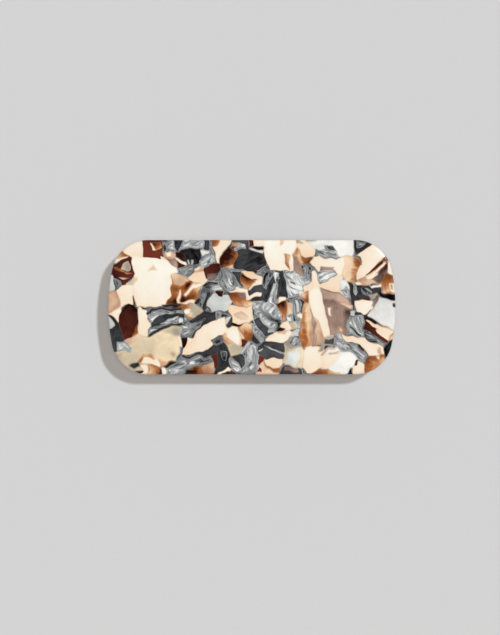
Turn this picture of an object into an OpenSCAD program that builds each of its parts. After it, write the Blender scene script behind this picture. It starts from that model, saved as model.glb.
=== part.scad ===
// French-clip barrette: a flat cellulose-acetate face plate on a stamped steel clasp.
// Millimetres. +Z is the face of the plate, X runs along it and the hinge is at +X.
// The origin is below the middle of the plate, level with the lowest point of the closed clasp.

/* [Face plate] */
// Length of the plate
plate_l = 84; // [72:1:110]
// Width of the plate
plate_w = 39.3; // [27:0.1:56]
// Thickness of the plate
plate_t = 3.5; // [2.6:0.1:6]
// Radius of the plate's corners, seen from the front
corner_r = 10.8; // [6:0.2:13]
// Radius of the shallow arc along each short end
end_arc_r = 54; // [46:1:200]
// Radius of the polished edge, front and back
edge_r = 0.7; // [0.3:0.1:1.2]

/* [Clasp] */
// Length of the base bar over its rounded ends
base_l = 70; // [56:1:84]
// Width of the base bar, over its rails and ears
base_w = 9; // [8.6:0.1:11]
// Depth of the closed clasp, from the plate's back to its lowest point
clasp_h = 11.2; // [9.8:0.1:13.6]
// Thickness of the base bar's steel
base_t = 0.8; // [0.6:0.05:0.9]
// Height of the rail along each edge of the base bar
rail_h = 0.9; // [0.5:0.1:1.2]

/* [Closing arm] */
// Thickness of the arm's steel
arm_t = 0.7; // [0.5:0.05:0.85]
// Height of the rail along each edge of the arm
arm_rail_h = 0.7; // [0.4:0.1:1]
// Distance from the middle of the base bar to the arm's lowest point, towards the hinge
crown_x = 10; // [6:0.5:14]
// Width of the steel around the arm's window
rim = 1.5; // [1:0.1:2]
// Angle to which the arm opens
open_angle = 80; // [60:1:85]

/* [Hinge] */
// Radius of the hinge pin
pin_r = 0.75; // [0.6:0.05:0.9]
// Depth of the pin's axis below the base bar
pin_drop = 2.8; // [2.6:0.1:3.4]
// Radius of the base bar's ears around the pin
ear_r = 2.2; // [1.8:0.1:2.5]

/* [Catch] */
// Distance between the two prongs
prong_gap = 4.7; // [4.2:0.1:5.6]
// Width of each prong, along the bar
prong_w = 4.2; // [3.4:0.1:5]
// Thickness of each prong's steel
prong_t = 0.6; // [0.5:0.05:0.7]
// How far each barb stands out from its prong
barb = 0.6; // [0.3:0.05:0.7]
// How far the prongs stand proud of the closed arm
prong_reach = 2.2; // [1.8:0.1:2.6]

/* [Tension bar] */
// Width of the tension bar
bar_w = 4.6; // [4:0.1:5]
// Thickness of the tension bar's spring steel
bar_t = 0.4; // [0.3:0.05:0.5]
// Height of the tension bar's bow
bar_bow = 2.8; // [2:0.1:3.2]
// Width of the tongue at each end of the tension bar
tongue_w = 3.2; // [2.6:0.1:3.6]

/* [Rivets] */
// Radius of each rivet's shank
rivet_r = 1.1; // [0.8:0.05:1.3]
// Radius of each rivet's head
rivet_head_r = 1.9; // [1.5:0.1:2.1]
// Height of each rivet's head
rivet_head_h = 0.8; // [0.6:0.05:1]
// Steel left between each rivet's hole and the end of the base bar
rivet_edge = 2.6; // [2:0.1:3]
// Depth of each shank in the plate
rivet_depth = 2.2; // [1.5:0.1:2.2]

/* [Clearances] */
// Between sheet faces that slide past each other
side_gap = 0.1; // [0.08:0.01:0.15]
// Between the pin and the arm's holes, on the radius
pin_gap = 0.05; // [0.03:0.01:0.08]
// Between the arm's heel and the base bar when the arm is fully open
stop_gap = 0.1; // [0.05:0.01:0.2]
// Between each barb and the arm's window
barb_gap = 0.05; // [0.03:0.01:0.1]
// Above, below and beside the tension bar's tongues
tongue_gap = 0.25; // [0.2:0.01:0.35]

/* [Hidden] */
$fn = 96;

// Heights.
back_z = clasp_h;
strip_z = back_z - base_t;
pin_z = strip_z - pin_drop;

// Places along the bar.
hinge_setback = 9;
catch_setback = 8;
bridge_setback = 5.2;
pin_x = base_l/2 - hinge_setback;
catch_x = catch_setback - base_l/2;
rivet_x = base_l/2 - rivet_edge - rivet_r;
bridge_w = 1.6;
bridge_x = pin_x - bridge_setback;
rail_end = bridge_x - bridge_w;

// The arm: a channel bowed about its lowest point, so that the prong tips and the bow reach z = 0 together.
arm_w = base_w - 2*(base_t + side_gap);
arm_r = (pow(crown_x - catch_x, 2) + pow(prong_reach, 2)) / (2*prong_reach);
window_play = 0.4;
window_w = prong_gap + 2*(prong_t + barb + barb_gap);
window_l = prong_w + 2*window_play;
frame_w = window_w + 2*rim;
frame_in = catch_x + window_l/2 + rim;
frame_out = catch_x - window_l/2 - rim;
frame_r = 2.2;
shoulder_l = 3;
shoulder_x = frame_in + shoulder_l;
ear_step = 0.3;
arm_ear_r = ear_r - ear_step;
ear_foot = 3.6;
heel_up = 0.5;
heel_l = (pin_drop - stop_gap - heel_up*cos(open_angle)) / sin(open_angle);
heel_x = pin_x + heel_l;
heel_r = 2.4;

// The tension bar: its steel is midway up the slot of each bridge.
slot_h = bar_t + 2*tongue_gap;
bridge_t = 0.5;
bar_half = bridge_x;
bar_z = strip_z - slot_h/2;
bar_r = (bar_half*bar_half + bar_bow*bar_bow) / (2*bar_bow);
tongue_l = 2.2;
taper_l = 1.5;
lug_l = 0.8;
crown_gap = 0.1;

// The catch spring: its back lies under the base bar and a prong hangs from each of its long edges.
spring_z = strip_z - prong_t;
prong_root_gap = 0.08;
prong_y = prong_gap/2;
prong_tip_r = 1.2;
spring_in = catch_x + prong_w/2;
prong_out = prong_y + prong_t;
barb_drop = 0.12;
barb_lip = 0.3;
barb_lead = 0.12;

// Longer than any piece, for profiles that are cut to length by another.
far = 200;

// Points of an arc about c, from angle a to angle b, n + 1 of them, or without its two end points.
function arc(c, r, a, b, n, ends) =
    [for (i = [(ends ? 0 : 1) : (ends ? n : n - 1)])
        let (t = a + (b - a)*i/n) c + r*[cos(t), sin(t)]];

// Outline of the plate, inset by d: two straight sides, four corner arcs and two shallow end arcs,
// each tangent to the next. Every end arc meets its corner arcs at the angle meet.
end_cx = plate_l/2 - end_arc_r;
corner_cy = plate_w/2 - corner_r;
corner_cx = end_cx + sqrt(pow(end_arc_r - corner_r, 2) - pow(corner_cy, 2));
meet = atan2(corner_cy, corner_cx - end_cx);
end_n = 8;
corner_n = 12;
function outline(d) = concat(
    arc([end_cx, 0], end_arc_r - d, -meet, meet, end_n, false),
    arc([corner_cx, corner_cy], corner_r - d, meet, 90, corner_n, true),
    arc([-corner_cx, corner_cy], corner_r - d, 90, 180 - meet, corner_n, true),
    arc([-end_cx, 0], end_arc_r - d, 180 - meet, 180 + meet, end_n, false),
    arc([-corner_cx, -corner_cy], corner_r - d, 180 + meet, 270, corner_n, true),
    arc([corner_cx, -corner_cy], corner_r - d, 270, 360 - meet, corner_n, true));

// Inset and height of each ring up the plate's edge: a quarter round at the back, then one at the front.
edge_n = 4;
edge_turns = [for (i = [0:edge_n]) 90*i/edge_n];
edge_rings = concat(
    [for (a = edge_turns) edge_r*[1 - sin(a), 1 - cos(a)]],
    [for (a = edge_turns) [edge_r*(1 - cos(a)), plate_t - edge_r*(1 - sin(a))]]);

// A rectangle from x0 to x1, w wide about the X axis, with its corners rounded to r.
module rounded_bar(x0, x1, w, r) {
    translate([x0 + r, -w/2]) square([x1 - x0 - 2*r, w]);
    translate([x0, r - w/2]) square([x1 - x0, w - 2*r]);
    for (x = [x0 + r, x1 - r], y = [r - w/2, w/2 - r]) translate([x, y]) circle(r);
}

// Extrudes a profile drawn in X and Z across Y, from y0 to y1.
module across(y0, y1) {
    translate([0, y1, 0]) rotate([90, 0, 0]) linear_extrude(y1 - y0) children();
}

// The same plate of a profile on both sides of the bar, from y0 out to y1.
module both_sides(y0, y1) {
    across(y0, y1) children();
    across(-y1, -y0) children();
}

// A bevelled strip in X and Z: its top edge runs from -x to x at z, and it is h high with ends at 45 degrees.
module rail_profile(x, z, h) {
    polygon([[-x, z], [x, z], [x - h, z - h], [h - x, z - h]]);
}

// Profile of a bowed sheet: the band between two arcs about the bow's centre, from x0 to x1.
module bowed_band(cx, cz, r_out, thick, x0, x1) {
    intersection() {
        difference() {
            translate([cx, cz]) circle(r_out, $fn = 256);
            translate([cx, cz]) circle(r_out - thick, $fn = 256);
        }
        translate([x0, cz - r_out - 1]) square([x1 - x0, r_out]);
    }
}

// Slab of marbled acetate with polished round edges and a blind hole for each rivet.
module face_plate() {
    rings = [for (e = edge_rings) [for (p = outline(e[0])) [p[0], p[1], back_z + e[1]]]];
    n = len(rings[0]);
    last = len(rings) - 1;
    color("bisque") difference() {
        polyhedron(
            points = [for (ring = rings, p = ring) p],
            faces = concat(
                [[for (i = [0:n-1]) i]],
                [for (k = [0:last-1], i = [0:n-1])
                    [k*n + i, (k+1)*n + i, (k+1)*n + (i+1)%n, k*n + (i+1)%n]],
                [[for (i = [n-1:-1:0]) last*n + i]]));
        for (x = [-rivet_x, rivet_x])
            translate([x, 0, back_z - 1]) cylinder(r = rivet_r, h = rivet_depth + 1);
    }
}

// Ear of the base bar: hangs from the strip and rounds the pin.
module base_ear_profile() {
    difference() {
        union() {
            translate([pin_x, pin_z]) circle(ear_r);
            translate([pin_x - ear_r, pin_z]) square([2*ear_r, pin_drop + base_t/2]);
        }
        translate([pin_x, pin_z]) circle(pin_r);
    }
}

// Bridge across the strip's underside that holds one tongue of the tension bar.
module bridge() {
    leg_y = tongue_w/2 + tongue_gap;
    translate([-bridge_w/2, -leg_y - bridge_t, strip_z - slot_h - bridge_t])
        cube([bridge_w, 2*(leg_y + bridge_t), bridge_t]);
    for (y = [-leg_y - bridge_t, leg_y])
        translate([-bridge_w/2, y, strip_z - slot_h - bridge_t])
            cube([bridge_w, bridge_t, slot_h + bridge_t + base_t/2]);
}

// Stamped base bar: a strip with round ends, turned-down rails, hinge ears and two bridges.
module base_bar() {
    color("silver") difference() {
        union() {
            translate([0, 0, strip_z]) linear_extrude(base_t) {
                translate([base_w/2 - base_l/2, -base_w/2]) square([base_l - base_w, base_w]);
                for (s = [-1, 1]) translate([s*(base_l - base_w)/2, 0]) circle(base_w/2);
            }
            both_sides(base_w/2 - base_t, base_w/2) {
                rail_profile(rail_end, strip_z + base_t/2, rail_h + base_t/2);
                base_ear_profile();
            }
            for (x = [-bridge_x, bridge_x]) translate([x, 0, 0]) bridge();
        }
        for (x = [-rivet_x, rivet_x])
            translate([x, 0, strip_z - 1]) cylinder(r = rivet_r, h = base_t + 2);
    }
}

// Plan of the arm: a strip whose shoulders leave it along straight lines, tangent to the corners of the
// window's frame.
module arm_plan() {
    corner = [frame_in - frame_r, frame_w/2 - frame_r];
    run = [shoulder_x, arm_w/2] - corner;
    turn = atan2(run[1], run[0]) + acos(frame_r/norm(run));
    touch = corner + frame_r*[cos(turn), sin(turn)];
    difference() {
        union() {
            translate([frame_in - frame_r, -arm_w/2]) square([heel_x - frame_in + frame_r, arm_w]);
            polygon([touch, [shoulder_x, arm_w/2], [shoulder_x, -arm_w/2], [touch[0], -touch[1]]]);
            rounded_bar(frame_out, frame_in, frame_w, frame_r);
        }
        translate([catch_x - window_l/2, -window_w/2]) square([window_l, window_w]);
    }
}

// What lies above the arm's outer surface, moved in by d: the bow, then a round corner up to the heel.
module arm_side(d) {
    heel_z = arm_r - sqrt(pow(arm_r, 2) - pow(heel_x - heel_r - crown_x, 2));
    intersection() {
        translate([crown_x, arm_r]) circle(arm_r - d, $fn = 256);
        union() {
            translate([-far, -1]) square([far + heel_x - heel_r, clasp_h + 1]);
            translate([heel_x - heel_r, heel_z + heel_r]) circle(heel_r - d);
            translate([heel_x - 2*heel_r, heel_z + heel_r]) square([2*heel_r - d, clasp_h]);
        }
    }
}

// Profile of the arm's web: a sheet that follows the bow and rolls up at the heel.
module arm_web_profile() {
    intersection() {
        difference() {
            arm_side(0);
            arm_side(arm_t);
        }
        translate([-far, -1]) square([2*far, prong_reach + heel_r + arm_t]);
    }
}

// Ear of the arm: rises from the web to the pin, with a square heel that stops the arm when it is open.
module arm_ear_profile() {
    difference() {
        intersection() {
            union() {
                translate([pin_x, pin_z]) circle(arm_ear_r);
                polygon([[pin_x - arm_ear_r - ear_foot, -1], [pin_x - arm_ear_r - ear_foot, arm_t],
                         [pin_x - arm_ear_r, pin_z], [pin_x, pin_z],
                         [pin_x, pin_z + heel_up], [heel_x, pin_z + heel_up], [heel_x, -1]]);
            }
            arm_side(0);
        }
        translate([pin_x, pin_z]) circle(pin_r + pin_gap);
    }
}

// Rail along one edge of the arm: it starts at the shoulder with a 45 degree end and runs into the ear.
module arm_rail_profile() {
    top = arm_t + arm_rail_h;
    intersection() {
        bowed_band(crown_x, arm_r, arm_r, top, shoulder_x, pin_x - arm_ear_r);
        translate([shoulder_x, 0]) polygon([[0, -1], [0, arm_t], [far, far + arm_t], [far, -1]]);
    }
}

// Stamped closing arm: a bowed channel with hinge ears at one end and the catch window at the other.
module clasp_arm() {
    color("gainsboro") {
        intersection() {
            translate([0, 0, -1]) linear_extrude(clasp_h) arm_plan();
            across(-far, far) arm_web_profile();
        }
        both_sides(arm_w/2 - arm_t, arm_w/2) {
            arm_rail_profile();
            arm_ear_profile();
        }
    }
}

// Hinge pin, peened over outside both of the base bar's ears.
module hinge_pin() {
    peen_r = pin_r + 0.5;
    peen_h = 0.5;
    bevel = 0.25;
    color("silver") translate([pin_x, base_w/2 + peen_h, pin_z]) rotate([90, 0, 0]) {
        cylinder(r = pin_r, h = base_w + 2*peen_h);
        cylinder(r1 = peen_r - bevel, r2 = peen_r, h = peen_h);
        translate([0, 0, base_w + peen_h]) cylinder(r1 = peen_r, r2 = peen_r - bevel, h = peen_h);
    }
}

// Back of the catch spring: spring steel riveted under the catch end of the base bar.
module catch_spring() {
    back_w = prong_gap + 2*prong_t;
    color("silver") translate([0, 0, spring_z]) linear_extrude(prong_t) difference() {
        union() {
            translate([-rivet_x, -back_w/2]) square([spring_in + rivet_x, back_w]);
            translate([-rivet_x, 0]) circle(back_w/2);
        }
        translate([-rivet_x, 0]) circle(rivet_r);
    }
}

// Catch prong on the +Y side: a sprung leaf with a round tip and an outward barb just below the arm.
module prong() {
    barb_z = prong_reach - barb_drop;
    root_z = spring_z - prong_root_gap;
    intersection() {
        translate([catch_x - prong_w/2, 0, 0]) rotate([90, 0, 90]) linear_extrude(prong_w)
            polygon([[prong_y, 0], [prong_out - barb_lead, 0], [prong_out + barb, barb_z - barb_lip],
                     [prong_out + barb, barb_z], [prong_out, barb_z],
                     [prong_out, root_z], [prong_y, root_z]]);
        across(0, far) {
            translate([catch_x - prong_w/2, prong_tip_r]) square([prong_w, root_z]);
            translate([catch_x - prong_w/2 + prong_tip_r, 0])
                square([prong_w - 2*prong_tip_r, root_z]);
            for (s = [-1, 1]) translate([catch_x + s*(prong_w/2 - prong_tip_r), prong_tip_r])
                circle(prong_tip_r);
        }
    }
}

module catch_prong_rear() { color("silver") prong(); }

module catch_prong_front() { color("silver") mirror([0, 1, 0]) prong(); }

// Plan of one half of the tension bar, from its crown to the tongue that lies in a bridge. The lug is a
// cross-piece behind the bridge, which keeps the bar from slipping out.
module bar_plan(lug) {
    shoulder = bridge_x - bridge_w/2 - tongue_gap;
    tongue_end = bar_half + tongue_l;
    lug_points = [[tongue_end - lug_l, tongue_w/2], [tongue_end - lug_l, bar_w/2],
                  [tongue_end, bar_w/2]];
    side = concat([[crown_gap/2, bar_w/2], [shoulder - taper_l, bar_w/2], [shoulder, tongue_w/2]],
                  lug ? lug_points : [[tongue_end, tongue_w/2]]);
    polygon(concat(side, [for (i = [len(side)-1:-1:0]) [side[i][0], -side[i][1]]]));
}

// Profile of one half of the tension bar: an arc, then a flat tongue.
module bar_profile() {
    bowed_band(0, bar_z - bar_bow + bar_r, bar_r + bar_t/2, bar_t, 0, bar_half);
    translate([bar_half - bar_t, bar_z - bar_t/2]) square([tongue_l + bar_t, bar_t]);
}

// One half of the tension bar: bowed spring steel that ends in a flat tongue.
module half_bar(lug) {
    intersection() {
        translate([0, 0, bar_z - bar_bow - 1]) linear_extrude(bar_bow + 2) bar_plan(lug);
        across(-bar_w, bar_w) bar_profile();
    }
}

module tension_bar_root() { color("lightsteelblue") half_bar(true); }

module tension_bar_tip() { color("lightsteelblue") mirror([1, 0, 0]) half_bar(false); }

// Rivet: a domed head that seats at the height seat_z, on a shank pressed into the plate.
module rivet(seat_z) {
    dome_r = (pow(rivet_head_r, 2) + pow(rivet_head_h, 2)) / (2*rivet_head_h);
    color("silver") {
        translate([0, 0, seat_z]) cylinder(r = rivet_r, h = back_z + rivet_depth - seat_z);
        intersection() {
            translate([0, 0, seat_z - rivet_head_h + dome_r]) sphere(dome_r);
            translate([0, 0, seat_z - rivet_head_h]) cylinder(r = rivet_head_r, h = rivet_head_h);
        }
    }
}

module rivet_hinge_end() { translate([rivet_x, 0, 0]) rivet(strip_z); }

module rivet_catch_end() { translate([-rivet_x, 0, 0]) rivet(spring_z); }

face_plate();
base_bar();
clasp_arm();
hinge_pin();
catch_spring();
catch_prong_front();
catch_prong_rear();
tension_bar_root();
tension_bar_tip();
rivet_hinge_end();
rivet_catch_end();
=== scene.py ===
import math

import bpy
import numpy as np
from bpy.props import FloatProperty, FloatVectorProperty, IntProperty, PointerProperty
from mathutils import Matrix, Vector


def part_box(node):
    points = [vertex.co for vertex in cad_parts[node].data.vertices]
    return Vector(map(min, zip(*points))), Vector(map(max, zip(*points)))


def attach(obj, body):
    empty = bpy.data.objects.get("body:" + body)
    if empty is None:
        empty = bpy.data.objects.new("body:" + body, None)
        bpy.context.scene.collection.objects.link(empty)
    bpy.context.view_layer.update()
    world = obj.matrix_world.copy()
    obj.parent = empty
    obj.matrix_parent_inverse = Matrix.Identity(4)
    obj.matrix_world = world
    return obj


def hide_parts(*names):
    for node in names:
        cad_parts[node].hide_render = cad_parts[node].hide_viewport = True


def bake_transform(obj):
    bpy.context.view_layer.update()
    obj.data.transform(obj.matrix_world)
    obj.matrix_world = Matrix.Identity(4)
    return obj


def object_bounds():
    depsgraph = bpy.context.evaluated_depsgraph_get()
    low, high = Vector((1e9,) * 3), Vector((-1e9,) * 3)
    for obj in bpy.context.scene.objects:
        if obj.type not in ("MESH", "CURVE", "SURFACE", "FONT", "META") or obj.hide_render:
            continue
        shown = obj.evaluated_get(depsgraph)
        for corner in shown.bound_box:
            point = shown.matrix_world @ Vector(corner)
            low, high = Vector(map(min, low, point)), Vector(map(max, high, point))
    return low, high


bl_info = {
    "name": "Marbled Acetate Barrette",
    "version": (1, 0, 0),
    "blender": (4, 5, 0),
    "location": "View3D > Sidebar > Barrette",
    "description": "A marbled acetate face plate on a French clasp of stamped steel",
    "category": "Object",
}

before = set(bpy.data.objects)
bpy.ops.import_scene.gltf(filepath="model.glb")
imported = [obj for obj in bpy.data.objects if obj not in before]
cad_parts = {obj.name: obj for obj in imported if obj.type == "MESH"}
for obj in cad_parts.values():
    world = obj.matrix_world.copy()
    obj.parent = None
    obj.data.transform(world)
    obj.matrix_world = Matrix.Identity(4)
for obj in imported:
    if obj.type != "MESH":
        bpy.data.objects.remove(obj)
CAD_LOW, CAD_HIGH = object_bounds()
MM = 0.001


def linear(hex_colour):
    """An sRGB hex colour such as 'FFE9D2' as linear red, green and blue."""
    parts = [int(hex_colour[i:i + 2], 16) / 255 for i in (0, 2, 4)]
    return tuple(c / 12.92 if c <= 0.04045 else ((c + 0.055) / 1.055) ** 2.4 for c in parts)


PLATE_LOW, PLATE_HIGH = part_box("face_plate")
SPRING_LOW, SPRING_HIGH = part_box("catch_spring")
PRONG_LOW, PRONG_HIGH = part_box("catch_prong_rear")
BAR_ROOT_LOW, BAR_ROOT_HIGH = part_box("tension_bar_root")
BAR_TIP_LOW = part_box("tension_bar_tip")[0]

# The prongs: how far a barb stands out, the height of its top edge and of its lip, the height at which it
# begins, the radius of the round tip, and the outer face above the barb.
BARB = 0.6 * MM
BARB_TOP = 2.08 * MM
BARB_LIP = 0.3 * MM
BARB_START = 0.4 * MM
TIP_RADIUS = 1.2 * MM
PRONG_OUTER = PRONG_HIGH.y - BARB

# The tension bar: its thickness, half the span of its bow, the width of its tongues, and where along it the
# shoulders begin, the neck ends, the hinge end's lug begins and the flat tongues are supported.
BAR_THICKNESS = 0.4 * MM
BAR_HALF_SPAN = 20.8 * MM
TONGUE_WIDTH = 3.2 * MM
SHOULDER = 18.25 * MM
NECK = 19.75 * MM
LUG_LENGTH = 0.8 * MM
TONGUE_MIDDLE = 21.5 * MM
# A step that is too short to see, where a width or a thickness changes at once.
STEP = 0.02 * MM


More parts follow.
